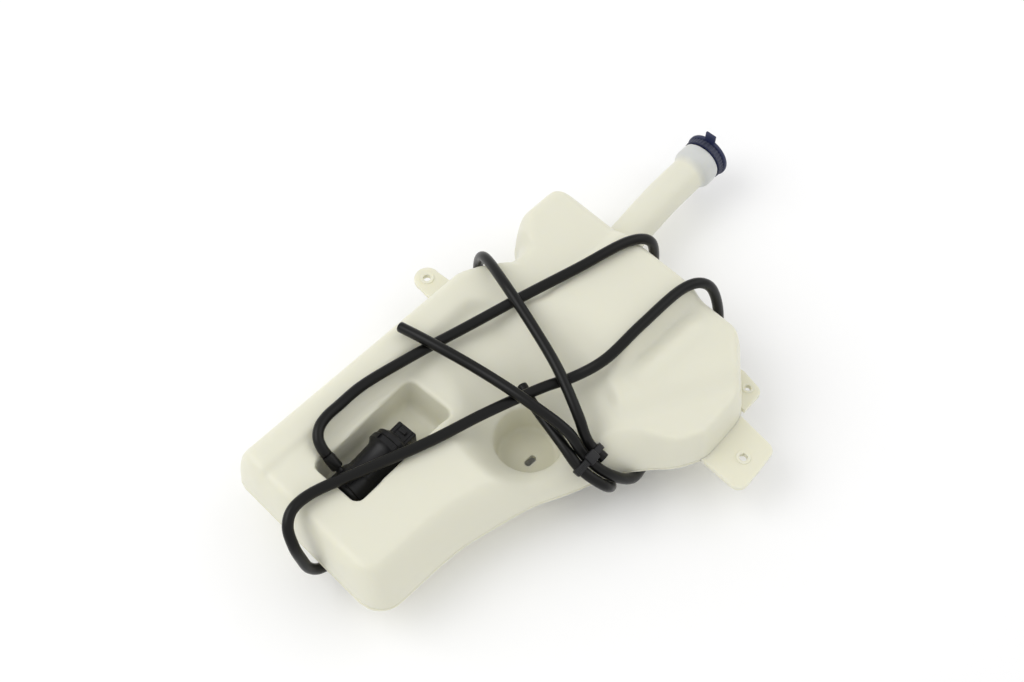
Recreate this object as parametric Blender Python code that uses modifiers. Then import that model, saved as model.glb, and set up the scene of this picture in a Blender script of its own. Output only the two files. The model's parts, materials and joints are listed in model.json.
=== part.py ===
"""Washer fluid reservoir: a blow-moulded tank lying on its back, with its filler cap, washer pump and hoses.

X runs along the tank from its bottom end to the filler neck, Y across it, Z up through its thickness.
Everything is built with the bottom end at x = 0 and the mould's parting plane at z = PARTING_Z.
The last step moves the whole model so that its hard parts are centred on the origin in plan.
"""

import math

import bmesh
import bpy
import numpy as np
from mathutils import Matrix, Vector

CLEARANCE = 0.0003

# Tank: the mould halves meet on the parting plane, and both faces start from this outline
PARTING_Z = 0.036
TANK_LENGTH = 0.332
TANK_WALL = 0.0026
LEFT_EDGE = (
    (0.0, 0.076),
    (0.215, 0.076),
    (0.232, 0.070),
    (0.247, 0.060),
    (0.257, 0.0525),
    (0.265, 0.0560),
    (0.277, 0.0690),
    (0.292, 0.0765),
    (0.332, 0.0765),
)
RIGHT_EDGE = (
    (0.0, -0.0755),
    (0.046, -0.0757),
    (0.070, -0.0768),
    (0.1025, -0.083),
    (0.131, -0.0905),
    (0.158, -0.1025),
    (0.190, -0.1155),
    (0.211, -0.1305),
    (0.2245, -0.1425),
    (0.240, -0.1505),
    (0.2460, -0.1530),
    (0.2800, -0.1512),
    (0.2885, -0.1485),
    (0.2990, -0.1408),
    (0.3080, -0.1323),
    (0.3165, -0.1245),
    (0.3260, -0.1165),
    (0.3320, -0.1090),
)
BOTTOM_LEFT_RADIUS = 0.013
BOTTOM_RIGHT_RADIUS = 0.020
TOP_LEFT_RADIUS = 0.016

# Walls: how far in from the outline a wall reaches its full height, and how square its edge is
STEEP_WALL_RUN = 0.014
STEEP_WALL_SQUARENESS = 2.2
RIGHT_WALL_RUN = 0.021
RIGHT_CORNER_WALL_RUN = 0.008
RIGHT_WALL_SQUARENESS = 1.5
BACK_SLOPE_RUN = 0.027
BACK_SLOPE_SQUARENESS = 1.15

# Front face: heights over the parting plane
END_BLOCK_RISE = 0.036
END_BLOCK_LENGTH = 0.044
BAND_RISE = 0.038
BAND_EDGE_Y = 0.043
SHELF_RISE = 0.028
MIDDLE_RISE = 0.031
MIDDLE_START_X = 0.145
RIGHT_BLOCK_RISE = 0.036
RIGHT_BLOCK_EDGE_Y = -0.008
RIGHT_BLOCK_LENGTH = 0.128
PLATEAU_RISE = 0.048
PLATEAU_RAMP_START_X = 0.198
PLATEAU_START_X = 0.246
PLATEAU_LEFT_Y = 0.006
PLATEAU_RIGHT_Y = -0.070
LOBE_RISE = 0.041
LOBE_START_X = 0.262
STEP_RUN = 0.014

# Crater: a shallow funnel round the screw dimple
DIMPLE_CENTRE = (0.163, -0.056)
DIMPLE_RADIUS = 0.0255
DIMPLE_DRAFT = 0.0025
DIMPLE_SINK = 0.015
DIMPLE_FLOOR_Z = PARTING_Z - DIMPLE_SINK
DIMPLE_FILLET = 0.003
DIMPLE_FLOOR_THICKNESS = 0.004
DIMPLE_SIDES = 24
BACK_DIMPLE_RADIUS = 0.018
CRATER_RISE = 0.012
DIMPLE_DEPTH = DIMPLE_SINK + CRATER_RISE
CRATER_SLOPE = 0.56
CRATER_CLIFF_SLOPE = 0.60
SLOT_LENGTH = 0.010
SLOT_WIDTH = 0.0055
SLOT_OFFSET = (-0.002, -0.004)

# Roof-shaped block at the top right corner
ROOF_RIDGE_START = (0.220, -0.091)
ROOF_RIDGE_END = (0.299, -0.131)
ROOF_RISE = 0.037
ROOF_LOWER_SLOPE = 0.80
ROOF_CHEEK_SLOPE = 1.6
ROOF_CHEEK_TOP = (0.230, -0.065)
ROOF_CREST_Y = -0.088
ROOF_CREST_RISE = 0.006
ROOF_CREST_WIDTH = 0.010
ROOF_BLEND = 0.008

# Back face: pads lie on the floor, the rest is raised for the hoses that pass behind
BACK_CHANNEL_Y = -0.0155
BACK_CHANNEL_HALF_WIDTH = 0.011
BACK_CHANNEL_DEPTH = 0.014
BACK_RAISE = 0.018
WAIST_START_X = 0.166
WAIST_END_X = 0.266
BACK_FOOT_RIGHT_Y = -0.076

# Loft grid
WALL_INSETS = (0.0, 0.0016, 0.0055, 0.0145)
STATION_PITCH = 0.0122
STATION_LINES = 10
FLAT_ANGLE = math.radians(0.4)

# Filler neck and its flared mouth
NECK_RADIUS = 0.0145
NECK_WALL = 0.0024
NECK_POINTS = ((0.316, 0.0125), (0.340, 0.0145), (0.358, 0.0165), (0.378, 0.0188), (0.398, 0.0206))
MOUTH_HEADING = math.radians(2.4)
NECK_STRAIGHT = 0.031
FLARE_RADIUS = 0.0176
FLARE_RUN = 0.0045
FLARE_LENGTH = 0.017
MOUTH_BORE_RADIUS = 0.0148

# Ears: flat plates on the parting plane, each with a ring round its hole
EAR_THICKNESS = 0.0044
EAR_BOSS_RISE = 0.0008
EAR_BOSS_RADIUS = 0.0056
EAR_HOLE_RADIUS = 0.0030
EAR_ROOT = 0.004
ROUND_EAR_HOLE = (0.2103, 0.0985)
ROUND_EAR_RADIUS = 0.0100
ROUND_EAR_ROOT_HALF = 0.0120
SQUARE_TAB = (
    (0.2415, -0.146, 0.0), (0.2405, -0.1885, 0.0085), (0.2845, -0.1845, 0.0075), (0.2885, -0.146, 0.0),
)
SQUARE_TAB_HOLE = (0.2634, -0.1719)
POINTED_EAR = (
    (0.2930, -0.1380, 0.0),
    (0.2930, -0.1490, 0.0),
    (0.3145, -0.1480, 0.006),
    (0.3180, -0.1280, 0.003),
    (0.3170, -0.1160, 0.0),
    (0.3000, -0.1300, 0.0),
)
POINTED_EAR_HOLE = (0.3090, -0.1385)

# Filler cap, along the mouth's axis
CAP_PLUG_LENGTH = 0.012
CAP_PLUG_WALL = 0.0018
CAP_PLUG_GAP = 0.0016
CAP_SEAL_TOP_Z = -0.0030
CAP_SEAL_WIDTH = 0.0020
CAP_SEAL_THICKNESS = 0.0015
CAP_SKIRT_RADIUS = 0.0172
CAP_SKIRT_LENGTH = 0.0062
CAP_RIM_RADIUS = 0.0190
CAP_RIM_THICKNESS = 0.0028
CAP_CROWN = 0.0015
CAP_RIBS = 20
CAP_RIB_HEIGHT = 0.0006
CAP_TAB_WIDTH = 0.0095
CAP_TAB_REACH = 0.0075

# Pump: its Z axis runs from the base face to the connector
PUMP_BASE_POINT = (0.0405, 0.0036)
PUMP_HEADING = math.radians(3.4)
PUMP_AXIS_RISE = 0.017
PUMP_BASE_RADIUS = 0.0148
PUMP_HOUSING_RADIUS = 0.0134
PUMP_COLLAR_RADIUS = 0.0163
PUMP_COLLAR_LENGTH = 0.0050
COLLAR_NOTCHES = 4
WAIST_Z = 0.0190

BASE_COVER_THICKNESS = 0.0030
BASE_FILLET = 0.0020
BASE_PILOT = 0.0030
O_RING_THICKNESS = 0.0014
IMPELLER_RADIUS = 0.0105
IMPELLER_GAP = 0.0010
IMPELLER_DISC = 0.0016
IMPELLER_HUB_RISE = 0.0012
IMPELLER_BLADE_HEIGHT = 0.0040
IMPELLER_BLADES = 6
IMPELLER_Z = BASE_COVER_THICKNESS + BASE_PILOT + 0.0008 + IMPELLER_BLADE_HEIGHT
BULKHEAD_Z = IMPELLER_Z + IMPELLER_DISC + IMPELLER_HUB_RISE + 0.0006
BULKHEAD_THICKNESS = 0.0020
SEAL_SEAT_RADIUS = 0.0030
SEAL_SEAT_DEPTH = 0.0013
SHAFT_RADIUS = 0.0010
SHAFT_GAP = 0.0003

MOTOR_CAN_RADIUS = 0.0112
CAN_WALL = 0.0010
BUSH_RADIUS = 0.0026
BUSH_LENGTH = 0.0026
MAGNET_THICKNESS = 0.0025
MAGNET_ARC = math.radians(130)
WINDING_END = 0.0026
ARMATURE_RADIUS = 0.0069
ARMATURE_LENGTH = 0.0150
ARMATURE_POLES = 3
ARMATURE_Z = BULKHEAD_Z + BULKHEAD_THICKNESS + BUSH_LENGTH + WINDING_END + 0.0012
COMMUTATOR_RADIUS = 0.0022
COMMUTATOR_LENGTH = 0.0045
CAN_TOP_Z = ARMATURE_Z + ARMATURE_LENGTH + WINDING_END + COMMUTATOR_LENGTH + 0.0012
HOLDER_THICKNESS = 0.0025
BRUSH_WIDTH = 0.0022
BRUSH_HEIGHT = 0.0026
HOUSING_TOP_Z = CAN_TOP_Z + HOLDER_THICKNESS + 0.0008
SHAFT_LOW_Z = IMPELLER_Z - IMPELLER_BLADE_HEIGHT
SHAFT_TOP_Z = HOUSING_TOP_Z - 0.0006

CONNECTOR_FLANGE = 0.0042
CONNECTOR_LENGTH = 0.0135
CONNECTOR_WIDTH = 0.0165
CONNECTOR_HEIGHT = 0.0120
CONNECTOR_WALL = 0.0016
CONNECTOR_DEPTH = 0.0095
CAP_SHOULDER_RADIUS = 0.0118
TERMINAL_WIDTH = 0.0028
TERMINAL_THICKNESS = 0.0008
TERMINAL_Y = 0.0052
TERMINAL_TOP_Z = HOUSING_TOP_Z + CONNECTOR_FLANGE + CONNECTOR_LENGTH - 0.0025

NOZZLE_STATION = 0.0100
NOZZLE_LIFT = math.radians(40)
NOZZLE_RADIUS = 0.0024
NOZZLE_BARB = 0.0028
NOZZLE_BORE = 0.0013
NOZZLE_LENGTH = 0.0140

SPIGOT_RADIUS = 0.0058
SPIGOT_BORE = 0.0038
SPIGOT_LENGTH = 0.0120
GROMMET_HOLE_RADIUS = 0.0095
GROMMET_FLANGE_RADIUS = 0.0120
GROMMET_FLANGE = 0.0016
STRAINER_RADIUS = 0.0085
STRAINER_LENGTH = 0.0120
STRAINER_WALL = 0.0010

# Pocket round the pump
POCKET_END_Z = -(GROMMET_FLANGE + 2 * CLEARANCE)
POCKET_CLEARANCE = 0.0009
POCKET_LENGTH = 0.088
POCKET_LEFT_SPACE = 0.0060
POCKET_HEIGHT = 0.030
POCKET_CORNER_RADIUS = 0.006
POCKET_DRAFT = 0.05
POCKET_FAR_LEAN = 4.0

# Hoses: route points of the centre lines, and how closely the tubes follow them
HOSE_RADIUS = 0.0040
HOSE_SIDES_LEVEL = 2
HOSE_TURN = math.radians(14)
HOSE_STEP = 0.055
WASHER_HOSE_ROUTE = (
    # off the pump's nozzle and along the left side of the front face
    (0.0492, 0.0266, 0.0719), (0.0494, 0.0312, 0.0756), (0.0520, 0.0375, 0.0785),
    (0.0580, 0.0425, 0.0795), (0.0660, 0.0450, 0.0795), (0.0800, 0.0460, 0.0785),
    (0.0995, 0.0460, 0.0785), (0.1440, 0.0385, 0.0770), (0.1880, 0.0280, 0.0770),
    # over the plateau and round the top end
    (0.2300, 0.0140, 0.0850), (0.2725, 0.0010, 0.0890), (0.3140, -0.0090, 0.0890),
    (0.3270, -0.0140, 0.0850), (0.3335, -0.0175, 0.0775), (0.3370, -0.0200, 0.0560),
    (0.3360, -0.0200, 0.0225), (0.3290, -0.0185, 0.0105), (0.3160, -0.0170, 0.0055),
    # down the channel in the back face
    (0.2705, -0.0155, 0.0050), (0.2255, -0.0155, 0.0050), (0.1800, -0.0155, 0.0050),
    (0.1350, -0.0155, 0.0050), (0.0895, -0.0155, 0.0050), (0.0440, -0.0155, 0.0050),
    # round the bottom end
    (0.0270, -0.0155, 0.0085), (0.0140, -0.0155, 0.0150), (0.0050, -0.0150, 0.0215),
    (-0.0030, -0.0145, 0.0280), (-0.0080, -0.0130, 0.0380), (-0.0095, -0.0105, 0.0510),
    (-0.0095, -0.0055, 0.0660), (-0.0050, 0.0035, 0.0760), (0.0035, 0.0090, 0.0795),
    # over the pump and across the front face
    (0.0185, 0.0100, 0.0790), (0.0615, -0.0035, 0.0770), (0.1045, -0.0185, 0.0770),
    (0.1480, -0.0305, 0.0765), (0.1905, -0.0455, 0.0770), (0.2090, -0.0545, 0.0780),
    (0.2310, -0.0630, 0.0845), (0.2680, -0.0640, 0.0890), (0.3120, -0.0650, 0.0890),
    # round the top end beside the roof-shaped block
    (0.3255, -0.0690, 0.0865), (0.3345, -0.0745, 0.0770), (0.3385, -0.0835, 0.0490),
    (0.3330, -0.0905, 0.0235), (0.3230, -0.0955, 0.0130), (0.3055, -0.1005, 0.0085),
    # under the right side and up to the tie
    (0.2610, -0.1092, 0.0128), (0.2430, -0.1134, 0.0125), (0.2245, -0.1175, 0.0155),
    (0.1970, -0.1250, 0.0345), (0.1808, -0.1158, 0.0534), (0.1759, -0.1054, 0.0615),
    (0.1753, -0.0952, 0.0658), (0.1753, -0.0821, 0.0776),
    # from the tie over the front face to the free end
    (0.1700, -0.0500, 0.0860), (0.1640, -0.0055, 0.0850), (0.1545, 0.0390, 0.0850),
    (0.1510, 0.0610, 0.0805),
)
SECOND_HOSE_ROUTE = (
    # from under the tie over the front face to the left side
    (0.1849, -0.1081, 0.0603), (0.1838, -0.0953, 0.0649), (0.1845, -0.0890, 0.0710),
    (0.1880, -0.0800, 0.0790), (0.2020, -0.0465, 0.0875), (0.2140, -0.0110, 0.0885),
    (0.2235, 0.0245, 0.0915), (0.2360, 0.0575, 0.0790), (0.2395, 0.0670, 0.0700),
    # round the waist and across the back face
    (0.2415, 0.0730, 0.0545), (0.2400, 0.0725, 0.0305), (0.2375, 0.0660, 0.0190),
    (0.2335, 0.0585, 0.0140), (0.2170, 0.0250, 0.0135), (0.2055, -0.0110, 0.0135),
    (0.1965, -0.0470, 0.0135), (0.1895, -0.0840, 0.0135),
    # up the right side to the tie
    (0.1861, -0.1078, 0.0252), (0.1828, -0.1174, 0.0346), (0.1784, -0.1207, 0.0429),
    (0.1732, -0.1193, 0.0515), (0.1673, -0.1077, 0.0610), (0.1666, -0.0982, 0.0644),
    # from the tie to the free end
    (0.1695, -0.0825, 0.0677), (0.1776, -0.0462, 0.0682), (0.1825, -0.0299, 0.0685),
)

# Cable tie: an oval band round three strands that lie side by side, with its head on the middle one
TIE_CENTRE = (0.1756, -0.1013, 0.0630)
TIE_AXIS = (0.075, -0.937, -0.342)
TIE_ACROSS = (0.9968, 0.0800, 0.0)
TIE_STRAND_PITCH = 0.0087
TIE_SLACK = 0.0006
TIE_THICKNESS = 0.0012
TIE_WIDTH = 0.0048
TIE_HEAD = (0.0088, 0.0044, 0.0078)
TIE_TAIL_REACH = 0.0125
TIE_HEAD_EDGE = 0.0006

# Steps round turned pieces, by how large they are
BODY_SIDES = 24
SHELL_SIDES = 20
RING_SIDES = 18
BORE_SIDES = 16
WINDING_SIDES = 15
BUSH_SIDES = 14
SHAFT_SIDES = 12

# How far a joined piece sinks in, how far a cutter runs past a face, and broken edges
SINK = 0.001
CUT_PAST = 0.002
DRILL_REACH = 0.010
SLOT_CUT_REACH = 0.005
EDGE_BREAK = 0.0008
SEAL_EDGE = 0.0003

# Small features of the ears, neck and cap
EAR_BOSS_DRAFT = 0.0006
POINTED_EAR_SHARE = 0.8
FLARE_LIP = 0.0012
CAP_EDGE = 0.001
CAP_SKIRT_STEP = 0.0004
CAP_TAB_ROOT = 0.004
CAP_TAB_DROP = 0.0006
CAP_TAB_EDGE = 0.0007
CAP_RIB_ROOT = 0.0008
CAP_RIB_LIFT = 0.0006
CAP_RIB_BITE = 0.0005

# Small features of the pump's mouldings and seals
SPIGOT_LEAD = 0.001
NOZZLE_ROOT = 0.0025
NOZZLE_BARB_LENGTH = 0.0035
NOTCH_DEPTH = 0.0013
NOTCH_WIDTH = 0.004
NOTCH_LENGTH = 0.0035
CONNECTOR_RIM_STEP = 0.001
SHOULDER_RISE = 0.003
SHOULDER_DRAFT = 0.002
CONNECTOR_EDGE = 0.0012
SOCKET_EDGE = 0.0006
LATCH_WIDTH = 0.006
LATCH_START = 0.0065
LATCH_LENGTH = 0.003
LATCH_RISE = 0.0018
LATCH_EDGE = 0.0004
GROMMET_EDGE = 0.0005
GROMMET_INNER_STEP = 0.001
O_RING_SLACK = 0.0001

# Small features of the motor
IMPELLER_HUB_RADIUS = 0.003
IMPELLER_BLADE_THICKNESS = 0.001
BLADE_BITE = 0.0006
BLADE_TIP_STEP = 0.0004
POLE_HUB_RADIUS = 0.0026
POLE_ARM_HALF = 0.0012
POLE_HEAD_RADIUS = 0.0058
POLE_HEAD_HALF_ANGLE = math.radians(48)
WINDING_RADIUS = 0.0054
WINDING_GAP = 0.0004
COMMUTATOR_GAP = 0.0005
COMMUTATOR_RISER = 0.0007
COMMUTATOR_SLIT = 0.0003
COMMUTATOR_SLIT_DEPTH = 0.0004
CAN_EDGE = 0.001
MAGNET_OVERHANG = 0.001
HOLDER_STEP = 0.0002
GUIDE_STEP = 0.0006
GUIDE_WIDTH = 0.0056
GUIDE_DROP = 0.0022
GUIDE_BITE = 0.0004
BRUSH_WAY_START = 0.001
BRUSH_WAY_END = 0.012
TERMINAL_WAY_DROP = 0.004
TERMINAL_DROP = 0.0016


def build_collections():
    """Remove what the scene holds, and make one collection for the part and one for its cutters."""
    for item in list(bpy.data.objects):
        bpy.data.objects.remove(item, do_unlink=True)
    part = bpy.data.collections.new("washer_fluid_reservoir")
    cutters = bpy.data.collections.new("cutters")
    bpy.context.scene.collection.children.link(part)
    bpy.context.scene.collection.children.link(cutters)
    return part, cutters


def smooth_line(points, x):
    """A curve through the points that never overshoots them (monotone cubic pieces)."""
    px = np.array([p[0] for p in points])
    py = np.array([p[1] for p in points])
    step = np.diff(px)
    slope = np.diff(py) / step
    tangent = np.zeros(len(px))
    tangent[0], tangent[-1] = slope[0], slope[-1]
    same = slope[:-1] * slope[1:] > 0
    harmonic = 2 * slope[:-1] * slope[1:] / np.where(same, slope[:-1] + slope[1:], 1.0)
    tangent[1:-1] = np.where(same, harmonic, 0.0)
    k = np.clip(np.searchsorted(px, x) - 1, 0, len(step) - 1)
    t = np.clip((x - px[k]) / step[k], 0.0, 1.0)
    near, far = 1 - t, t
    return (near * near * (1 + 2 * far) * py[k] + far * far * (3 - 2 * far) * py[k + 1]
            + step[k] * near * far * (near * tangent[k] - far * tangent[k + 1]))


def ramp(value, start, stop):
    """A soft step from 0 at start to 1 at stop."""
    t = np.clip((value - start) / (stop - start), 0.0, 1.0)
    return t * t * (3 - 2 * t)


def soft_min(a, b, blend):
    """The lower of two heights, with a fillet where they cross."""
    overlap = np.maximum(blend - np.abs(a - b), 0.0) / blend
    return np.minimum(a, b) - overlap * overlap * blend / 4


def soft_max(a, b, blend):
    """The higher of two heights, with a fillet where they cross."""
    return -soft_min(-a, -b, blend)


def corner(distance, radius):
    """How far a round corner pulls an edge in, at a distance from the end wall."""
    run = np.clip(radius - distance, 0.0, radius)
    return radius - np.sqrt(np.maximum(radius * radius - run * run, 0.0))


def left_edge(x):
    """The outline's left side (+Y)."""
    return (smooth_line(LEFT_EDGE, x) - corner(x, BOTTOM_LEFT_RADIUS)
            - corner(TANK_LENGTH - x, TOP_LEFT_RADIUS))


def right_edge(x):
    """The outline's right side (-Y)."""
    return smooth_line(RIGHT_EDGE, x) + corner(x, BOTTOM_RIGHT_RADIUS)


def wall_factor(distance, run, squareness):
    """From 0 on the outline to 1 at the wall's full height, along a superellipse."""
    t = np.clip(distance / run, 0.0, 1.0)
    return (1 - (1 - t) ** squareness) ** (1 / squareness)


def edge_distances(x, y):
    """Distances in from the bottom end, top end, left and right sides."""
    eps = 0.0005
    left_lean = (left_edge(x + eps) - left_edge(x - eps)) / (2 * eps)
    right_lean = (right_edge(x + eps) - right_edge(x - eps)) / (2 * eps)
    return (x, TANK_LENGTH - x,
            (left_edge(x) - y) / np.sqrt(1 + left_lean ** 2),
            (y - right_edge(x)) / np.sqrt(1 + right_lean ** 2))


def roof_block(x, y):
    """The roof-shaped block: a top with a low crest, a sloping lower face and a steep cheek."""
    sx, sy = ROOF_RIDGE_START
    ex, ey = ROOF_RIDGE_END
    length = math.hypot(ex - sx, ey - sy)
    outward = ((x - sx) * (ey - sy) - (y - sy) * (ex - sx)) / length
    tx, ty = ROOF_CHEEK_TOP
    cheek_length = math.hypot(tx - sx, ty - sy)
    beside = -((x - sx) * (ty - sy) - (y - sy) * (tx - sx)) / cheek_length
    crest = (np.exp(-((y - ROOF_CREST_Y) / ROOF_CREST_WIDTH) ** 2)
             * ramp(x, ROOF_CHEEK_TOP[0] + 0.004, PLATEAU_START_X + 0.018)
             * (1 - ramp(x, ex, ex + 0.024)))
    top = ROOF_RISE + ROOF_CREST_RISE * crest
    lower = ROOF_RISE - ROOF_LOWER_SLOPE * outward
    cheek = ROOF_RISE - ROOF_CHEEK_SLOPE * beside
    return soft_min(soft_min(top, lower, ROOF_BLEND), cheek, ROOF_BLEND)


def front_rise(x, y):
    """Height of the front face over the parting plane."""
    middle = (SHELF_RISE + (MIDDLE_RISE - SHELF_RISE) * ramp(x, MIDDLE_START_X - 0.01, MIDDLE_START_X + 0.01)
              + (PLATEAU_RISE - MIDDLE_RISE) * ramp(x, PLATEAU_RAMP_START_X, PLATEAU_START_X)
              * ramp(y, PLATEAU_RIGHT_Y - 0.012, PLATEAU_RIGHT_Y + 0.008))
    side = BAND_RISE + (LOBE_RISE - BAND_RISE) * ramp(x, LOBE_START_X - 0.027, LOBE_START_X)
    border = BAND_EDGE_Y + (PLATEAU_LEFT_Y - BAND_EDGE_Y) * ramp(x, PLATEAU_RAMP_START_X, PLATEAU_START_X)
    half = STEP_RUN / 2
    top = middle + (side - middle) * ramp(y, border - half, border + half)
    right = (1 - ramp(y, RIGHT_BLOCK_EDGE_Y - half, RIGHT_BLOCK_EDGE_Y + half)) * (
        1 - ramp(x, RIGHT_BLOCK_LENGTH - STEP_RUN, RIGHT_BLOCK_LENGTH + STEP_RUN))
    end = 1 - ramp(x, END_BLOCK_LENGTH - 0.002, END_BLOCK_LENGTH + STEP_RUN)
    block = np.maximum(right * RIGHT_BLOCK_RISE, end * END_BLOCK_RISE)
    weight = np.maximum(right, end)
    top = top * (1 - weight) + np.maximum(block, top * weight)

    dx, dy = x - DIMPLE_CENTRE[0], y - DIMPLE_CENTRE[1]
    reach = np.hypot(dx, dy) + 1e-9
    cliff = np.clip(-dx / reach, 0.0, 1.0) ** 2
    funnel = CRATER_RISE + (CRATER_SLOPE + CRATER_CLIFF_SLOPE * cliff) * np.maximum(
        reach - DIMPLE_RADIUS, 0.0)
    top = soft_min(top, funnel, 0.006)
    top = soft_max(top, roof_block(x, y), 0.004)

    bottom_end, top_end, left, right_side = edge_distances(x, y)
    right_run = RIGHT_WALL_RUN + (RIGHT_CORNER_WALL_RUN - RIGHT_WALL_RUN) * ramp(
        x, ROOF_RIDGE_START[0] - STEP_RUN, ROOF_RIDGE_START[0] + STEP_RUN)
    return (top * wall_factor(bottom_end, STEEP_WALL_RUN, STEEP_WALL_SQUARENESS)
            * wall_factor(top_end, STEEP_WALL_RUN, STEEP_WALL_SQUARENESS)
            * wall_factor(left, STEEP_WALL_RUN, STEEP_WALL_SQUARENESS)
            * wall_factor(right_side, right_run, RIGHT_WALL_SQUARENESS))


def back_depth(x, y):
    """Depth of the back face under the parting plane."""
    channel = 1 - ramp(np.abs(y - BACK_CHANNEL_Y), BACK_CHANNEL_HALF_WIDTH,
                       BACK_CHANNEL_HALF_WIDTH + 0.010)
    waist = ramp(x, WAIST_START_X - 0.008, WAIST_START_X + 0.008) * (
        1 - ramp(x, WAIST_END_X - 0.008, WAIST_END_X + 0.008))
    lower_corner = ramp(x, WAIST_START_X - 0.008, WAIST_START_X + 0.008) * (
        1 - ramp(y, BACK_FOOT_RIGHT_Y - 0.008, BACK_FOOT_RIGHT_Y + 0.008))
    raised = np.maximum(BACK_CHANNEL_DEPTH * channel, BACK_RAISE * np.maximum(waist, lower_corner))
    bottom_end, top_end, left, right_side = edge_distances(x, y)
    depth = PARTING_Z - raised
    for distance in (top_end, left):
        depth = depth * wall_factor(distance, STEEP_WALL_RUN, STEEP_WALL_SQUARENESS)
    for distance in (bottom_end, right_side):
        depth = depth * wall_factor(distance, BACK_SLOPE_RUN, BACK_SLOPE_SQUARENESS)
    return depth


def stations(length, insets, pitch):
    """Stations along a length, close together near both ends."""
    near = np.array(insets)
    count = max(int(round((length - 2 * near[-1]) / pitch)), 2)
    middle = np.linspace(near[-1], length - near[-1], count + 1)[1:-1]
    return np.concatenate([near, middle, length - near[::-1]])


def lines_across(low, high, insets, count):
    """For each station, positions across it from low to high, close together near the sides."""
    near = np.array(insets)
    width = (high - low)[:, None]
    squeeze = np.minimum(1.0, width / (4 * near[-1]))
    left = low[:, None] + near[None, :] * squeeze
    right = high[:, None] - near[None, ::-1] * squeeze
    t = np.linspace(0.0, 1.0, count + 2)[None, 1:-1]
    middle = left[:, -1:] * (1 - t) + right[:, :1] * t
    return np.concatenate([left, middle, right], axis=1)


def loft(name, x, across, rise, depth):
    """A closed surface lofted through sections, each a front and a back line that meet on the outline."""
    station_x = np.repeat(x[:, None], across.shape[1], axis=1)
    front_z = PARTING_Z + rise(station_x, across)
    back_z = PARTING_Z - depth(station_x, across)
    for field in (front_z, back_z):
        field[:, 0] = field[:, -1] = PARTING_Z
        field[0, :] = field[-1, :] = PARTING_Z
    ring_x = np.concatenate([station_x, station_x[:, -2:0:-1]], axis=1)
    ring_y = np.concatenate([across, across[:, -2:0:-1]], axis=1)
    ring_z = np.concatenate([front_z, back_z[:, -2:0:-1]], axis=1)
    rows, columns = ring_y.shape
    points = np.stack([ring_x, ring_y, ring_z], axis=-1).reshape(-1, 3)
    row, column = np.meshgrid(np.arange(rows - 1), np.arange(columns), indexing="ij")
    following = (column + 1) % columns
    faces = np.stack([row * columns + column, (row + 1) * columns + column,
                      (row + 1) * columns + following, row * columns + following], axis=-1)
    mesh = bpy.data.meshes.new(name)
    mesh.from_pydata(points.tolist(), [], faces.reshape(-1, 4).tolist())
    return mesh


def tank_loft(name, wall):
    """The tank's outer form, or its inner form drawn in by the wall, as one closed mesh object."""
    x = stations(TANK_LENGTH, WALL_INSETS, STATION_PITCH)
    across = lines_across(right_edge(x), left_edge(x), WALL_INSETS, STATION_LINES)
    mesh = loft(name, x, across, front_rise, back_depth)
    bm = bmesh.new()
    bm.from_mesh(mesh)
    bmesh.ops.remove_doubles(bm, verts=bm.verts, dist=0.00002)
    bm.normal_update()
    inward = [(vert, vert.normal * (wall * vert.calc_shell_factor())) for vert in bm.verts]
    for vert, step in inward:
        vert.co -= step
    bmesh.ops.dissolve_limit(bm, angle_limit=FLAT_ANGLE, verts=bm.verts, edges=bm.edges)
    bm.to_mesh(mesh)
    bm.free()
    return bpy.data.objects.new(name, mesh)


def material(name, colour, roughness, metallic=0.0):
    """A plain Principled material."""
    item = bpy.data.materials.new(name)
    item.use_nodes = True
    shader = item.node_tree.nodes["Principled BSDF"]
    shader.inputs["Base Color"].default_value = (*colour, 1.0)
    shader.inputs["Roughness"].default_value = roughness
    shader.inputs["Metallic"].default_value = metallic
    return item


def add_mesh(name, bm, collection, frame, finish=None, smooth=True):
    """Put a bmesh into an object that stands in the given frame."""
    mesh = bpy.data.meshes.new(name)
    bm.to_mesh(mesh)
    bm.free()
    return add_object(name, mesh, collection, frame, finish, smooth)


def add_object(name, data, collection, frame, finish=None, smooth=True):
    """Link a new object, shaded smooth with its sharp edges kept."""
    item = bpy.data.objects.new(name, data)
    collection.objects.link(item)
    item.parent = frame
    if finish is not None:
        data.materials.append(finish)
    else:
        item.hide_render = True
        item.display_type = "WIRE"
    if smooth and isinstance(data, bpy.types.Mesh):
        data.shade_smooth()
        data.set_sharp_from_angle(angle=math.radians(35))
    return item


def add_frame(name, collection, location, z_axis, x_axis):
    """An empty whose Z axis is a piece's own axis."""
    z_axis, x_axis = Vector(z_axis).normalized(), Vector(x_axis).normalized()
    y_axis = z_axis.cross(x_axis)
    frame = bpy.data.objects.new(name, None)
    collection.objects.link(frame)
    frame.matrix_world = Matrix.Translation(location) @ Matrix((x_axis, y_axis, z_axis)).transposed().to_4x4()
    return frame


def turned(name, profile, collection, frame, finish=None, sides=32, closed=False, offset=(0, 0, 0)):
    """A profile of (radius, height) points, run down its outer side, turned about Z."""
    bm = bmesh.new()
    points = [bm.verts.new((r, 0.0, z)) for r, z in profile]
    for a, b in zip(points, points[1:]):
        bm.edges.new((a, b))
    if closed:
        bm.edges.new((points[-1], points[0]))
    item = add_mesh(name, bm, collection, frame, finish, smooth=False)
    item.location = offset
    screw = item.modifiers.new("turn", "SCREW")
    screw.angle = 2 * math.pi
    screw.steps = screw.render_steps = sides
    screw.use_merge_vertices = True
    screw.merge_threshold = 0.00001
    screw.use_smooth_shade = True
    return item


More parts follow.
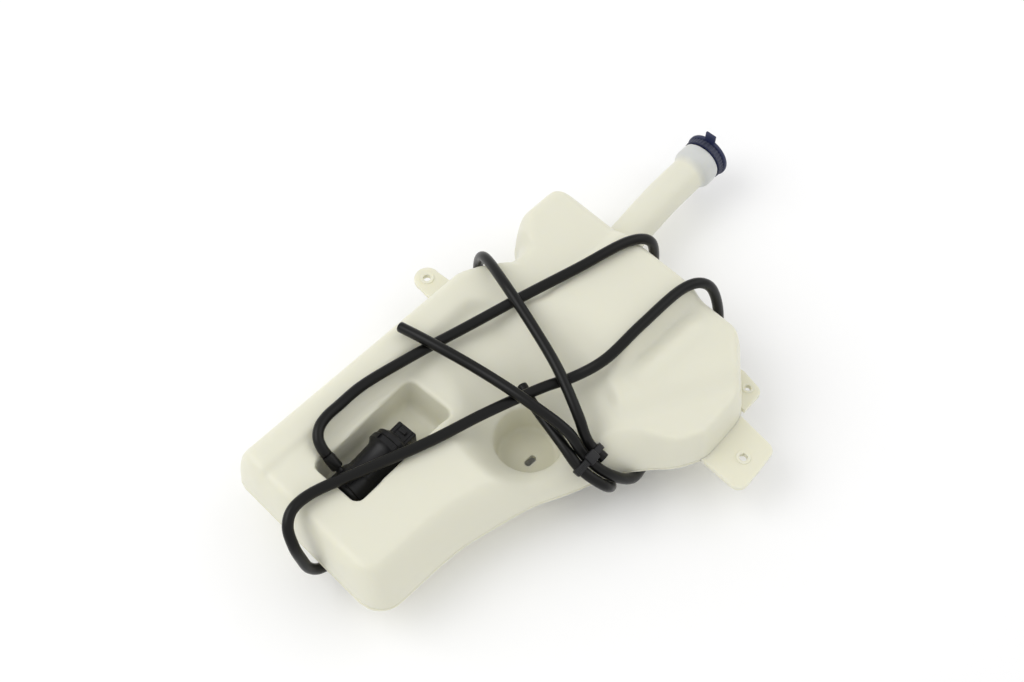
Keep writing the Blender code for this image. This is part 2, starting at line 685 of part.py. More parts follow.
def box(name, low, high, collection, frame, finish=None, bevel=0.0, segments=2, taper=0.0):
    """A box between two corners, with round edges, and with its low-Z face drawn in by the taper."""
    bm = bmesh.new()
    bmesh.ops.create_cube(bm, size=1.0)
    low, high = Vector(low), Vector(high)
    size, middle = high - low, (high + low) / 2
    for vert in bm.verts:
        scale = 1.0 - taper if vert.co.z < 0 else 1.0
        reach = Vector((size.x * scale, size.y * scale, size.z))
        vert.co = vert.co * reach + middle
    if bevel:
        bmesh.ops.bevel(bm, geom=bm.edges[:], offset=bevel, segments=segments, profile=0.5,
                        affect="EDGES", clamp_overlap=True)
    return add_mesh(name, bm, collection, frame, finish)


def boolean(item, other, operation="DIFFERENCE"):
    """Cut or join another object into this one."""
    step = item.modifiers.new(other.name, "BOOLEAN")
    step.operation = operation
    step.solver = "EXACT"
    step.object = other
    return item


def mesh_from_curve(item, collection):
    """Replace a curve object by its mesh, with the caps welded on."""
    bpy.context.view_layer.update()
    evaluated = item.evaluated_get(bpy.context.evaluated_depsgraph_get())
    mesh = bpy.data.meshes.new_from_object(evaluated)
    bm = bmesh.new()
    bm.from_mesh(mesh)
    bmesh.ops.remove_doubles(bm, verts=bm.verts, dist=0.00001)
    bm.to_mesh(mesh)
    bm.free()
    name, parent, place = item.name, item.parent, item.matrix_world.copy()
    bpy.data.objects.remove(item)
    solid = add_object(name, mesh, collection, parent)
    solid.matrix_world = place
    return solid


def flat_shape(name, outline, low_z, high_z, collection, frame, finish=None):
    """A closed outline in XY given a thickness along Z."""
    curve = bpy.data.curves.new(name, "CURVE")
    curve.dimensions = "2D"
    curve.fill_mode = "BOTH"
    curve.extrude = (high_z - low_z) / 2
    spline = curve.splines.new("POLY")
    spline.points.add(len(outline) - 1)
    for point, (x, y) in zip(spline.points, outline):
        point.co = (x, y, 0.0, 1.0)
    spline.use_cyclic_u = True
    item = add_object(name, curve, collection, frame, finish)
    item.location = (0.0, 0.0, (low_z + high_z) / 2)
    solid = mesh_from_curve(item, collection)
    if finish is not None:
        solid.data.materials.clear()
        solid.data.materials.append(finish)
        solid.hide_render = False
        solid.display_type = "TEXTURED"
    return solid


def tube(name, points, radius, resolution, collection, frame, finish=None):
    """A round tube along points, with filled ends."""
    curve = bpy.data.curves.new(name, "CURVE")
    curve.dimensions = "3D"
    curve.bevel_depth = radius
    curve.bevel_resolution = resolution
    curve.use_fill_caps = True
    spline = curve.splines.new("POLY")
    spline.points.add(len(points) - 1)
    for point, place in zip(spline.points, points):
        point.co = (*place, 1.0)
    return add_object(name, curve, collection, frame, finish)


def arc(centre, radius, start, stop, steps):
    """Points along an arc, angles in degrees."""
    angles = [math.radians(start + (stop - start) * k / steps) for k in range(steps + 1)]
    return [(centre[0] + radius * math.cos(a), centre[1] + radius * math.sin(a)) for a in angles]


def rounded_outline(corners, steps=3):
    """An outline with each corner (x, y, radius) replaced by an arc that touches both its sides."""
    outline = []
    count = len(corners)
    for k, (x, y, radius) in enumerate(corners):
        here = Vector((x, y))
        before = (Vector(corners[k - 1][:2]) - here).normalized()
        after = (Vector(corners[(k + 1) % count][:2]) - here).normalized()
        if radius <= 0:
            outline.append((x, y))
            continue
        half = before.angle(after) / 2
        centre = here + (before + after).normalized() * (radius / math.sin(half))
        first = here + before * (radius / math.tan(half)) - centre
        last = here + after * (radius / math.tan(half)) - centre
        turn = first.angle_signed(last)
        for i in range(steps + 1):
            spoke = first.copy()
            spoke.rotate(Matrix.Rotation(-turn * i / steps, 2))
            outline.append(tuple(centre + spoke))
    return outline


def build_tank(part, cutters, finish, pump, mouth):
    """The blow-moulded tank: two lofted faces, a pump pocket, a screw dimple, three ears and the neck."""
    tank = tank_loft("tank", 0.0)
    part.objects.link(tank)
    tank.data.materials.append(finish)
    boolean(tank, pump_pocket("pocket_outside", 0.0, cutters, pump))
    floor_z = DIMPLE_FLOOR_Z - DIMPLE_FLOOR_THICKNESS
    boolean(tank, dimple_cutter("dimple", front_dimple_side(0.0) + [(0.0, DIMPLE_FLOOR_Z)], cutters))
    boolean(tank, dimple_cutter("back_dimple", [(0.0, floor_z)] + back_dimple_side(0.0), cutters))
    for ear in build_ears(cutters):
        boolean(tank, ear, "UNION")
    boolean(tank, neck_tube("neck_outside", NECK_RADIUS, cutters), "UNION")
    boolean(tank, mouth_flare(cutters, mouth), "UNION")

    cavity = tank_loft("cavity", TANK_WALL)
    cutters.objects.link(cavity)
    cavity.hide_render = True
    cavity.display_type = "WIRE"
    boolean(cavity, pump_pocket("pocket_inside", TANK_WALL, cutters, pump))
    boolean(cavity, dimple_pillar(cutters))
    boolean(tank, cavity)
    boolean(tank, neck_tube("neck_bore", NECK_RADIUS - NECK_WALL, cutters))
    boolean(tank, turned("mouth_bore", [(0.0, 0.01), (MOUTH_BORE_RADIUS, 0.01),
                                        (MOUTH_BORE_RADIUS, FLARE_RUN - FLARE_LENGTH),
                                        (0.0, FLARE_RUN - FLARE_LENGTH)], cutters, mouth))
    boolean(tank, turned("grommet_hole", [(0.0, 0.002), (GROMMET_HOLE_RADIUS, 0.002),
                                          (GROMMET_HOLE_RADIUS, POCKET_END_Z - TANK_WALL - 0.004),
                                          (0.0, POCKET_END_Z - TANK_WALL - 0.004)], cutters, pump, sides=24))
    boolean(tank, slot_cutter(cutters))
    return tank


def pump_pocket(name, grow, cutters, pump):
    """The pocket that the pump lies in, as a cutter; grown by the wall it is the pocket's inner face."""
    reach = PUMP_COLLAR_RADIUS + POCKET_CLEARANCE + grow
    lean = POCKET_DRAFT * (POCKET_HEIGHT + reach)
    bm = bmesh.new()
    bmesh.ops.create_cube(bm, size=1.0)
    for vert in bm.verts:
        out = lean if vert.co.x > 0 else 0.0
        x = POCKET_HEIGHT if vert.co.x > 0 else -reach
        y = reach + out if vert.co.y > 0 else -(reach + POCKET_LEFT_SPACE + out)
        z = POCKET_LENGTH + grow + out * POCKET_FAR_LEAN if vert.co.z > 0 else POCKET_END_Z - grow
        vert.co = Vector((x, y, z))
    deep = [edge for edge in bm.edges if any(vert.co.x < 0 for vert in edge.verts)]
    bmesh.ops.bevel(bm, geom=deep, offset=POCKET_CORNER_RADIUS + grow, segments=2, profile=0.5,
                    affect="EDGES", clamp_overlap=True)
    bmesh.ops.recalc_face_normals(bm, faces=bm.faces)
    return add_mesh(name, bm, cutters, pump)


def front_dimple_side(grow):
    """Half section of the deep screw dimple: its drafted side and the round corner of its floor."""
    radius = DIMPLE_RADIUS - DIMPLE_DRAFT + grow
    low = DIMPLE_FLOOR_Z - grow
    high = PARTING_Z + PLATEAU_RISE
    rim = radius + DIMPLE_DRAFT * (high - low) / DIMPLE_DEPTH
    fillet = arc((radius - DIMPLE_FILLET, low + DIMPLE_FILLET), DIMPLE_FILLET, 0, -90, 2)
    return [(0.0, high), (rim, high)] + fillet


def back_dimple_side(grow):
    """Half section of the shallow dimple that meets it from the back face."""
    radius = BACK_DIMPLE_RADIUS + grow
    top = DIMPLE_FLOOR_Z - DIMPLE_FLOOR_THICKNESS + grow
    corner_points = arc((radius - DIMPLE_FILLET, top - DIMPLE_FILLET), DIMPLE_FILLET, 90, 0, 2)
    return corner_points + [(radius + DIMPLE_DRAFT, -DIMPLE_FILLET), (0.0, -DIMPLE_FILLET)]


def dimple_cutter(name, profile, cutters):
    """A dimple's half section turned about the dimple's axis."""
    return turned(name, profile, cutters, None, sides=DIMPLE_SIDES, offset=(*DIMPLE_CENTRE, 0.0))


def dimple_pillar(cutters):
    """Both dimples grown by the wall, which the cavity runs round."""
    low = DIMPLE_FLOOR_Z - TANK_WALL
    radius = BACK_DIMPLE_RADIUS + TANK_WALL
    profile = front_dimple_side(TANK_WALL) + [(radius, low)] + back_dimple_side(TANK_WALL)[-2:]
    return dimple_cutter("dimple_pillar", profile, cutters)


def slot_cutter(cutters):
    """The oblong screw hole through the dimple's floor."""
    cx, cy = DIMPLE_CENTRE[0] + SLOT_OFFSET[0], DIMPLE_CENTRE[1] + SLOT_OFFSET[1]
    half, radius = (SLOT_LENGTH - SLOT_WIDTH) / 2, SLOT_WIDTH / 2
    outline = arc((cx + half, cy), radius, -90, 90, 6) + arc((cx - half, cy), radius, 90, 270, 6)
    return flat_shape("slot", outline, SLOT_CUT_REACH, DIMPLE_FLOOR_Z + SLOT_CUT_REACH, cutters, None)


def pierced_plate(name, outline, hole, hole_radius, boss_radius, cutters):
    """A flat ear on the parting plane, with a raised ring round its hole."""
    half = EAR_THICKNESS / 2
    top, sunk = half + EAR_BOSS_RISE, half - SINK
    place = (*hole, PARTING_Z)
    plate = flat_shape(name, outline, PARTING_Z - half, PARTING_Z + half, cutters, None)
    ring = [(0.0, top), (boss_radius - EAR_BOSS_DRAFT, top), (boss_radius, sunk), (0.0, sunk)]
    boss = turned(name + "_boss", ring, cutters, None, sides=RING_SIDES, offset=place)
    bore = [(0.0, DRILL_REACH), (hole_radius, DRILL_REACH), (hole_radius, -DRILL_REACH), (0.0, -DRILL_REACH)]
    drill = turned(name + "_hole", bore, cutters, None, sides=RING_SIDES, offset=place)
    boolean(plate, boss, "UNION")
    boolean(plate, drill)
    return plate


def build_ears(cutters):
    """The three fixing ears: a round one, a square tab and a pointed one."""
    x, y = ROUND_EAR_HOLE
    root = LEFT_EDGE[0][1] - EAR_ROOT
    round_ear = ([(x + ROUND_EAR_ROOT_HALF, root)] + arc((x, y), ROUND_EAR_RADIUS, -10, 190, 8)
                 + [(x - ROUND_EAR_ROOT_HALF, root)])
    return (
        pierced_plate("round_ear", round_ear, ROUND_EAR_HOLE, EAR_HOLE_RADIUS, EAR_BOSS_RADIUS, cutters),
        pierced_plate("square_tab", rounded_outline(SQUARE_TAB), SQUARE_TAB_HOLE, EAR_HOLE_RADIUS,
                      EAR_BOSS_RADIUS, cutters),
        pierced_plate("pointed_ear", rounded_outline(POINTED_EAR), POINTED_EAR_HOLE,
                      EAR_HOLE_RADIUS * POINTED_EAR_SHARE, EAR_BOSS_RADIUS * POINTED_EAR_SHARE, cutters),
    )


def neck_tube(name, radius, cutters):
    """The neck's path given a radius: a slight bend, then straight to the mouth."""
    heading = Vector((math.cos(MOUTH_HEADING), math.sin(MOUTH_HEADING), 0.0))
    bend = [Vector((x, y, PARTING_Z)) for x, y in NECK_POINTS]
    points = [tuple(p) for p in bend] + [tuple(bend[-1] + heading * (NECK_STRAIGHT + FLARE_LENGTH / 2))]
    return mesh_from_curve(tube(name, points, radius, 4, cutters, None), cutters)


def mouth_flare(cutters, mouth):
    """The wider mouth of the neck, that takes the cap."""
    profile = [(0.0, 0.0), (FLARE_RADIUS - FLARE_LIP, 0.0), (FLARE_RADIUS, -FLARE_LIP),
               (FLARE_RADIUS, FLARE_RUN - FLARE_LENGTH), (NECK_RADIUS, -FLARE_LENGTH), (0.0, -FLARE_LENGTH)]
    return turned("flare", profile, cutters, mouth, sides=BODY_SIDES)


def build_cap(part, cutters, finishes, mouth):
    """The push-on filler cap: plug, ribbed skirt, rim and lift tab, with its seal ring on the plug."""
    plug = MOUTH_BORE_RADIUS - CAP_PLUG_GAP
    low = CLEARANCE
    skirt_top = low + CAP_SKIRT_LENGTH
    top = skirt_top + CAP_RIM_THICKNESS
    groove = plug - CAP_SEAL_THICKNESS / 2
    groove_low = CAP_SEAL_TOP_Z - CAP_SEAL_WIDTH - 2 * CLEARANCE
    plug_low, inside = low - CAP_PLUG_LENGTH, plug - CAP_PLUG_WALL
    ceiling = skirt_top - CAP_EDGE
    profile = [(0.0, top + CAP_CROWN), (CAP_RIM_RADIUS * 0.6, top + CAP_CROWN * 0.7),
               (CAP_RIM_RADIUS - CAP_EDGE, top), (CAP_RIM_RADIUS, top - CAP_EDGE),
               (CAP_RIM_RADIUS, skirt_top), (CAP_SKIRT_RADIUS, skirt_top - CAP_SKIRT_STEP),
               (CAP_SKIRT_RADIUS, low), (plug, low),
               (plug, CAP_SEAL_TOP_Z), (groove, CAP_SEAL_TOP_Z), (groove, groove_low), (plug, groove_low),
               (plug, plug_low + CAP_EDGE), (plug - CAP_EDGE, plug_low), (inside, plug_low),
               (inside, ceiling), (0.0, ceiling)]
    cap = turned("filler_cap", profile, part, mouth, finishes["cap"], sides=BODY_SIDES)
    tab = box("cap_tab", (CAP_RIM_RADIUS - CAP_TAB_ROOT, -CAP_TAB_WIDTH / 2, skirt_top),
              (CAP_RIM_RADIUS + CAP_TAB_REACH, CAP_TAB_WIDTH / 2, top - CAP_TAB_DROP), cutters, mouth,
              bevel=CAP_TAB_EDGE)
    boolean(cap, tab, "UNION")
    crest, valley = CAP_SKIRT_RADIUS + CAP_RIB_HEIGHT, CAP_SKIRT_RADIUS - CAP_RIB_ROOT
    quarter = 2 * math.pi / CAP_RIBS / 4
    outline = []
    for k in range(CAP_RIBS):
        for turn, radius in enumerate((crest, crest, valley, valley)):
            angle = 2 * math.pi * k / CAP_RIBS + turn * quarter
            outline.append((radius * math.cos(angle), radius * math.sin(angle)))
    ribs = flat_shape("cap_ribs", outline, low + CAP_RIB_LIFT, skirt_top + CAP_RIB_BITE, cutters, mouth)
    boolean(cap, ribs, "UNION")
    outer = MOUTH_BORE_RADIUS - CLEARANCE
    inner = groove + CLEARANCE
    high = CAP_SEAL_TOP_Z - CLEARANCE
    seal = [(inner, high), (outer - SEAL_EDGE, high), (outer, high - CAP_SEAL_WIDTH / 2),
            (outer - SEAL_EDGE, high - CAP_SEAL_WIDTH), (inner, high - CAP_SEAL_WIDTH)]
    turned("cap_seal", seal, part, mouth, finishes["rubber"], sides=SHELL_SIDES, closed=True)
    return cap


def build_pump_shells(part, cutters, finishes, pump):
    """The pump's three mouldings: the base cover with its inlet, the housing with its outlet, the cap."""
    chamber = IMPELLER_RADIUS + IMPELLER_GAP
    pilot = chamber - CLEARANCE
    cover_top = BASE_COVER_THICKNESS
    pilot_top = cover_top + BASE_PILOT
    fillet = BASE_FILLET
    cover_edge = [(PUMP_BASE_RADIUS - fillet + fillet * math.cos(a), fillet - fillet * math.sin(a))
                  for a in (0.0, math.pi / 6, math.pi / 3, math.pi / 2)]
    groove = pilot - O_RING_THICKNESS
    mid = cover_top + BASE_PILOT / 2
    groove_top = mid + O_RING_THICKNESS / 2 + CLEARANCE
    groove_low = mid - O_RING_THICKNESS / 2 - CLEARANCE
    profile = ([(SPIGOT_BORE, pilot_top), (pilot, pilot_top), (pilot, groove_top), (groove, groove_top),
                (groove, groove_low), (pilot, groove_low), (pilot, cover_top), (PUMP_BASE_RADIUS, cover_top)]
               + cover_edge
               + [(SPIGOT_RADIUS, 0.0), (SPIGOT_RADIUS, -SPIGOT_LENGTH + SPIGOT_LEAD),
                  (SPIGOT_RADIUS - EDGE_BREAK, -SPIGOT_LENGTH), (SPIGOT_BORE, -SPIGOT_LENGTH)])
    turned("pump_base_cover", profile, part, pump, finishes["black"], sides=SHELL_SIDES, closed=True)

    low = cover_top + CLEARANCE
    motor = MOTOR_CAN_RADIUS + CLEARANCE
    bulk_low, bulk_high = BULKHEAD_Z, BULKHEAD_Z + BULKHEAD_THICKNESS
    collar_low = HOUSING_TOP_Z - PUMP_COLLAR_LENGTH
    seat_high = bulk_low + SEAL_SEAT_DEPTH
    shaft_way = SHAFT_RADIUS + SHAFT_GAP
    profile = [(motor, HOUSING_TOP_Z), (PUMP_COLLAR_RADIUS - EDGE_BREAK, HOUSING_TOP_Z),
               (PUMP_COLLAR_RADIUS, HOUSING_TOP_Z - EDGE_BREAK), (PUMP_COLLAR_RADIUS, collar_low),
               (PUMP_HOUSING_RADIUS, collar_low - 0.004), (PUMP_HOUSING_RADIUS - 0.0006, WAIST_Z + 0.006),
               (PUMP_HOUSING_RADIUS - 0.0004, WAIST_Z), (PUMP_BASE_RADIUS - 0.0012, WAIST_Z - 0.0016),
               (PUMP_BASE_RADIUS, WAIST_Z - 0.008), (PUMP_BASE_RADIUS, low), (chamber, low),
               (chamber, bulk_low), (SEAL_SEAT_RADIUS, bulk_low), (SEAL_SEAT_RADIUS, seat_high),
               (shaft_way, seat_high), (shaft_way, bulk_high), (motor, bulk_high)]
    housing = turned("pump_housing", profile, part, pump, finishes["black"], sides=BODY_SIDES, closed=True)
    nozzle = add_frame("nozzle_axis", part, (0, 0, 0), (0, 0, 1), (1, 0, 0))
    nozzle.parent = pump
    axis = Vector((math.sin(NOZZLE_LIFT), -math.cos(NOZZLE_LIFT), 0.0))
    side_way = Vector((0, 0, 1)).cross(axis)
    turn = Matrix((side_way.cross(axis) * -1, side_way, axis)).transposed().to_4x4()
    nozzle.matrix_local = Matrix.Translation((0.0, 0.0, NOZZLE_STATION)) @ turn
    tip = PUMP_BASE_RADIUS + NOZZLE_LENGTH
    root = PUMP_BASE_RADIUS - NOZZLE_ROOT
    stem = [(0.0, tip), (NOZZLE_RADIUS - 0.0005, tip), (NOZZLE_BARB, tip - NOZZLE_BARB_LENGTH),
            (NOZZLE_RADIUS, tip - NOZZLE_BARB_LENGTH - 0.0005), (NOZZLE_RADIUS, PUMP_BASE_RADIUS + CUT_PAST),
            (NOZZLE_RADIUS + SINK, root), (0.0, root)]
    boolean(housing, turned("nozzle", stem, cutters, nozzle, sides=BORE_SIDES), "UNION")
    bore = [(0.0, tip + CUT_PAST), (NOZZLE_BORE, tip + CUT_PAST), (NOZZLE_BORE, chamber - CUT_PAST),
            (0.0, chamber - CUT_PAST)]
    boolean(housing, turned("nozzle_bore", bore, cutters, nozzle, sides=SHAFT_SIDES))
    for k in range(COLLAR_NOTCHES):
        notch = box(f"collar_notch_{k + 1}", (PUMP_COLLAR_RADIUS - NOTCH_DEPTH, -NOTCH_WIDTH / 2, -SINK),
                    (PUMP_COLLAR_RADIUS + CUT_PAST, NOTCH_WIDTH / 2, NOTCH_LENGTH), cutters, pump)
        angle = math.pi * (2 * k + 1) / COLLAR_NOTCHES
        lift = Matrix.Translation((0, 0, HOUSING_TOP_Z - NOTCH_LENGTH))
        notch.matrix_local = Matrix.Rotation(angle, 4, "Z") @ lift
        boolean(housing, notch)

    low = HOUSING_TOP_Z + CLEARANCE
    high = low + CONNECTOR_FLANGE
    rim = PUMP_COLLAR_RADIUS - CONNECTOR_RIM_STEP
    profile = [(0.0, high + SHOULDER_RISE), (CAP_SHOULDER_RADIUS - SHOULDER_DRAFT, high + SHOULDER_RISE),
               (CAP_SHOULDER_RADIUS, high + EDGE_BREAK), (rim - 0.0006, high), (rim, high - EDGE_BREAK),
               (rim, low), (0.0, low)]
    connector = turned("connector_cap", profile, part, pump, finishes["black"], sides=SHELL_SIDES)
    half_w, half_h = CONNECTOR_WIDTH / 2, CONNECTOR_HEIGHT / 2
    root, end = high + SINK, high + CONNECTOR_LENGTH
    shell = box("connector_shell", (-half_h, -half_w, root), (half_h, half_w, end), cutters, pump,
                bevel=CONNECTOR_EDGE)
    boolean(connector, shell, "UNION")
    latch = box("connector_latch", (half_h - SINK, -LATCH_WIDTH / 2, end - LATCH_START),
                (half_h + LATCH_RISE, LATCH_WIDTH / 2, end - LATCH_START + LATCH_LENGTH), cutters, pump,
                bevel=LATCH_EDGE)
    boolean(connector, latch, "UNION")
    hollow_h, hollow_w = half_h - CONNECTOR_WALL, half_w - CONNECTOR_WALL
    socket = box("connector_socket", (-hollow_h, -hollow_w, end - CONNECTOR_DEPTH),
                 (hollow_h, hollow_w, end + CUT_PAST), cutters, pump, bevel=SOCKET_EDGE)
    boolean(connector, socket)
    slot_h, slot_w = TERMINAL_WIDTH / 2 + CLEARANCE, TERMINAL_THICKNESS / 2 + CLEARANCE
    for side, word in ((-1, "left"), (1, "right")):
        slot = box(f"terminal_slot_{word}", (-slot_h, -slot_w, low - CUT_PAST), (slot_h, slot_w, end - SINK),
                   cutters, pump)
        slot.location = (0.0, side * TERMINAL_Y, 0.0)
        boolean(connector, slot)
    return housing


def build_pump_seals(part, finishes, pump):
    """Grommet and inlet strainer in the tank's wall, o-ring on the base cover, seal on the shaft."""
    first = -CLEARANCE
    second = first - GROMMET_FLANGE
    wall_far = POCKET_END_Z - TANK_WALL
    third = wall_far - CLEARANCE
    fourth = third - GROMMET_FLANGE
    hole, bore = GROMMET_HOLE_RADIUS - CLEARANCE, SPIGOT_RADIUS + CLEARANCE
    inner = GROMMET_FLANGE_RADIUS - GROMMET_INNER_STEP
    flange = GROMMET_FLANGE_RADIUS
    profile = [(bore, first), (flange - GROMMET_EDGE, first), (flange, first - GROMMET_EDGE),
               (flange, second), (hole, second), (hole, third), (inner, third), (hole, fourth), (bore, fourth)]
    turned("pump_grommet", profile, part, pump, finishes["rubber"], sides=RING_SIDES, closed=True)
    rim = fourth - CLEARANCE
    wall = STRAINER_WALL
    low = rim - STRAINER_LENGTH
    inside = STRAINER_RADIUS - wall
    profile = [(0.0, low + wall), (inside, low + wall), (inside, rim - wall), (bore, rim - wall), (bore, rim),
               (STRAINER_RADIUS, rim), (STRAINER_RADIUS, low), (0.0, low)]
    turned("inlet_strainer", profile, part, pump, finishes["white"], sides=BORE_SIDES)
    mid = BASE_COVER_THICKNESS + BASE_PILOT / 2
    chamber = IMPELLER_RADIUS + IMPELLER_GAP
    outer = chamber - CLEARANCE - O_RING_SLACK
    inside = chamber - O_RING_THICKNESS
    half = O_RING_THICKNESS / 2
    low, high = mid - half, mid + half
    profile = [(inside, high - SEAL_EDGE), (inside + SEAL_EDGE, high), (outer, high - SEAL_EDGE),
               (outer, low + SEAL_EDGE), (inside + SEAL_EDGE, low), (inside, low + SEAL_EDGE)]
    turned("base_o_ring", profile, part, pump, finishes["rubber"], sides=RING_SIDES, closed=True)
    high = BULKHEAD_Z + SEAL_SEAT_DEPTH - CLEARANCE
    inside, outer = SHAFT_RADIUS + CLEARANCE, SEAL_SEAT_RADIUS - CLEARANCE
    profile = [(inside, high), (outer, high), (outer, BULKHEAD_Z), (inside, BULKHEAD_Z)]
    turned("shaft_seal", profile, part, pump, finishes["rubber"], sides=BUSH_SIDES, closed=True)


def pole_outline(radius, hub, arm_half, head_inner, head_half_angle, grow):
    """The armature's section: a hub, equal arms and round pole heads, all grown by a gap."""
    outline = []
    arm = arm_half + grow
    for k in range(ARMATURE_POLES):
        middle = 2 * math.pi * k / ARMATURE_POLES
        sweep = head_half_angle + grow / radius
        hub_turn = math.asin(arm / (hub + grow))
        neck_turn = math.asin(arm / (head_inner - grow))
        outline.append(((hub + grow), middle - hub_turn))
        outline.append(((head_inner - grow), middle - neck_turn))
        outline.append(((head_inner - grow), middle - sweep))
        for i in range(5):
            outline.append((radius + grow, middle - sweep + 2 * sweep * i / 4))
        outline.append(((head_inner - grow), middle + sweep))
        outline.append(((head_inner - grow), middle + neck_turn))
        outline.append(((hub + grow), middle + hub_turn))
    return [(r * math.cos(a), r * math.sin(a)) for r, a in outline]


def build_rotor(part, cutters, finishes, pump):
    """What turns: shaft, impeller, three-pole armature core, its winding and the commutator."""
    bore = SHAFT_RADIUS + CLEARANCE
    turned("motor_shaft", [(0.0, SHAFT_TOP_Z), (SHAFT_RADIUS, SHAFT_TOP_Z), (SHAFT_RADIUS, SHAFT_LOW_Z),
                           (0.0, SHAFT_LOW_Z)], part, pump, finishes["steel"], sides=SHAFT_SIDES)
    hub = IMPELLER_HUB_RADIUS
    high = IMPELLER_Z + IMPELLER_DISC
    hub_high, blade_low = high + IMPELLER_HUB_RISE, IMPELLER_Z - IMPELLER_BLADE_HEIGHT
    profile = [(bore, hub_high), (hub, hub_high), (hub, high), (IMPELLER_RADIUS, high),
               (IMPELLER_RADIUS, IMPELLER_Z), (hub, IMPELLER_Z), (hub, blade_low), (bore, blade_low)]
    impeller = turned("impeller", profile, part, pump, finishes["white"], sides=SHELL_SIDES, closed=True)
    half = IMPELLER_BLADE_THICKNESS / 2
    for k in range(IMPELLER_BLADES):
        blade = box(f"blade_{k + 1}", (hub - BLADE_BITE, -half, blade_low),
                    (IMPELLER_RADIUS - BLADE_TIP_STEP, half, IMPELLER_Z + BLADE_BITE / 2), cutters, pump)
        blade.matrix_local = Matrix.Rotation(2 * math.pi * k / IMPELLER_BLADES, 4, "Z")
        boolean(impeller, blade, "UNION")

    low, high = ARMATURE_Z, ARMATURE_Z + ARMATURE_LENGTH
    section = (ARMATURE_RADIUS, POLE_HUB_RADIUS, POLE_ARM_HALF, POLE_HEAD_RADIUS, POLE_HEAD_HALF_ANGLE)
    core = flat_shape("armature_core", pole_outline(*section, 0.0), low, high, part, pump, finishes["steel"])
    profile = [(0.0, high + DRILL_REACH), (bore, high + DRILL_REACH), (bore, low - DRILL_REACH),
               (0.0, low - DRILL_REACH)]
    boolean(core, turned("core_bore", profile, cutters, pump, sides=BORE_SIDES))
    wound, inside = WINDING_RADIUS, bore + WINDING_GAP
    ends_low, ends_high = low - WINDING_END, high + WINDING_END
    profile = [(inside, ends_high), (wound - EDGE_BREAK, ends_high), (wound, ends_high - EDGE_BREAK),
               (wound, ends_low + EDGE_BREAK), (wound - EDGE_BREAK, ends_low), (inside, ends_low)]
    winding = turned("armature_winding", profile, part, pump, finishes["copper"], sides=WINDING_SIDES,
                     closed=True)
    space = flat_shape("core_space", pole_outline(*section, CLEARANCE), low - CLEARANCE, high + CLEARANCE,
                       cutters, pump)
    boolean(winding, space)
    low = ends_high + COMMUTATOR_GAP
    high = low + COMMUTATOR_LENGTH
    riser, riser_high = COMMUTATOR_RADIUS + COMMUTATOR_RISER, low + EDGE_BREAK
    profile = [(bore, high), (COMMUTATOR_RADIUS, high), (COMMUTATOR_RADIUS, riser_high), (riser, riser_high),
               (riser, low), (bore, low)]
    commutator = turned("commutator", profile, part, pump, finishes["copper"], sides=BORE_SIDES, closed=True)
    half = COMMUTATOR_SLIT / 2
    for k in range(ARMATURE_POLES):
        slit = box(f"commutator_slit_{k + 1}", (COMMUTATOR_RADIUS - COMMUTATOR_SLIT_DEPTH, -half, low - SINK),
                   (COMMUTATOR_RADIUS + CUT_PAST, half, high + SINK), cutters, pump)
        slit.matrix_local = Matrix.Rotation(2 * math.pi * (k + 0.5) / ARMATURE_POLES, 4, "Z")
        boolean(commutator, slit)


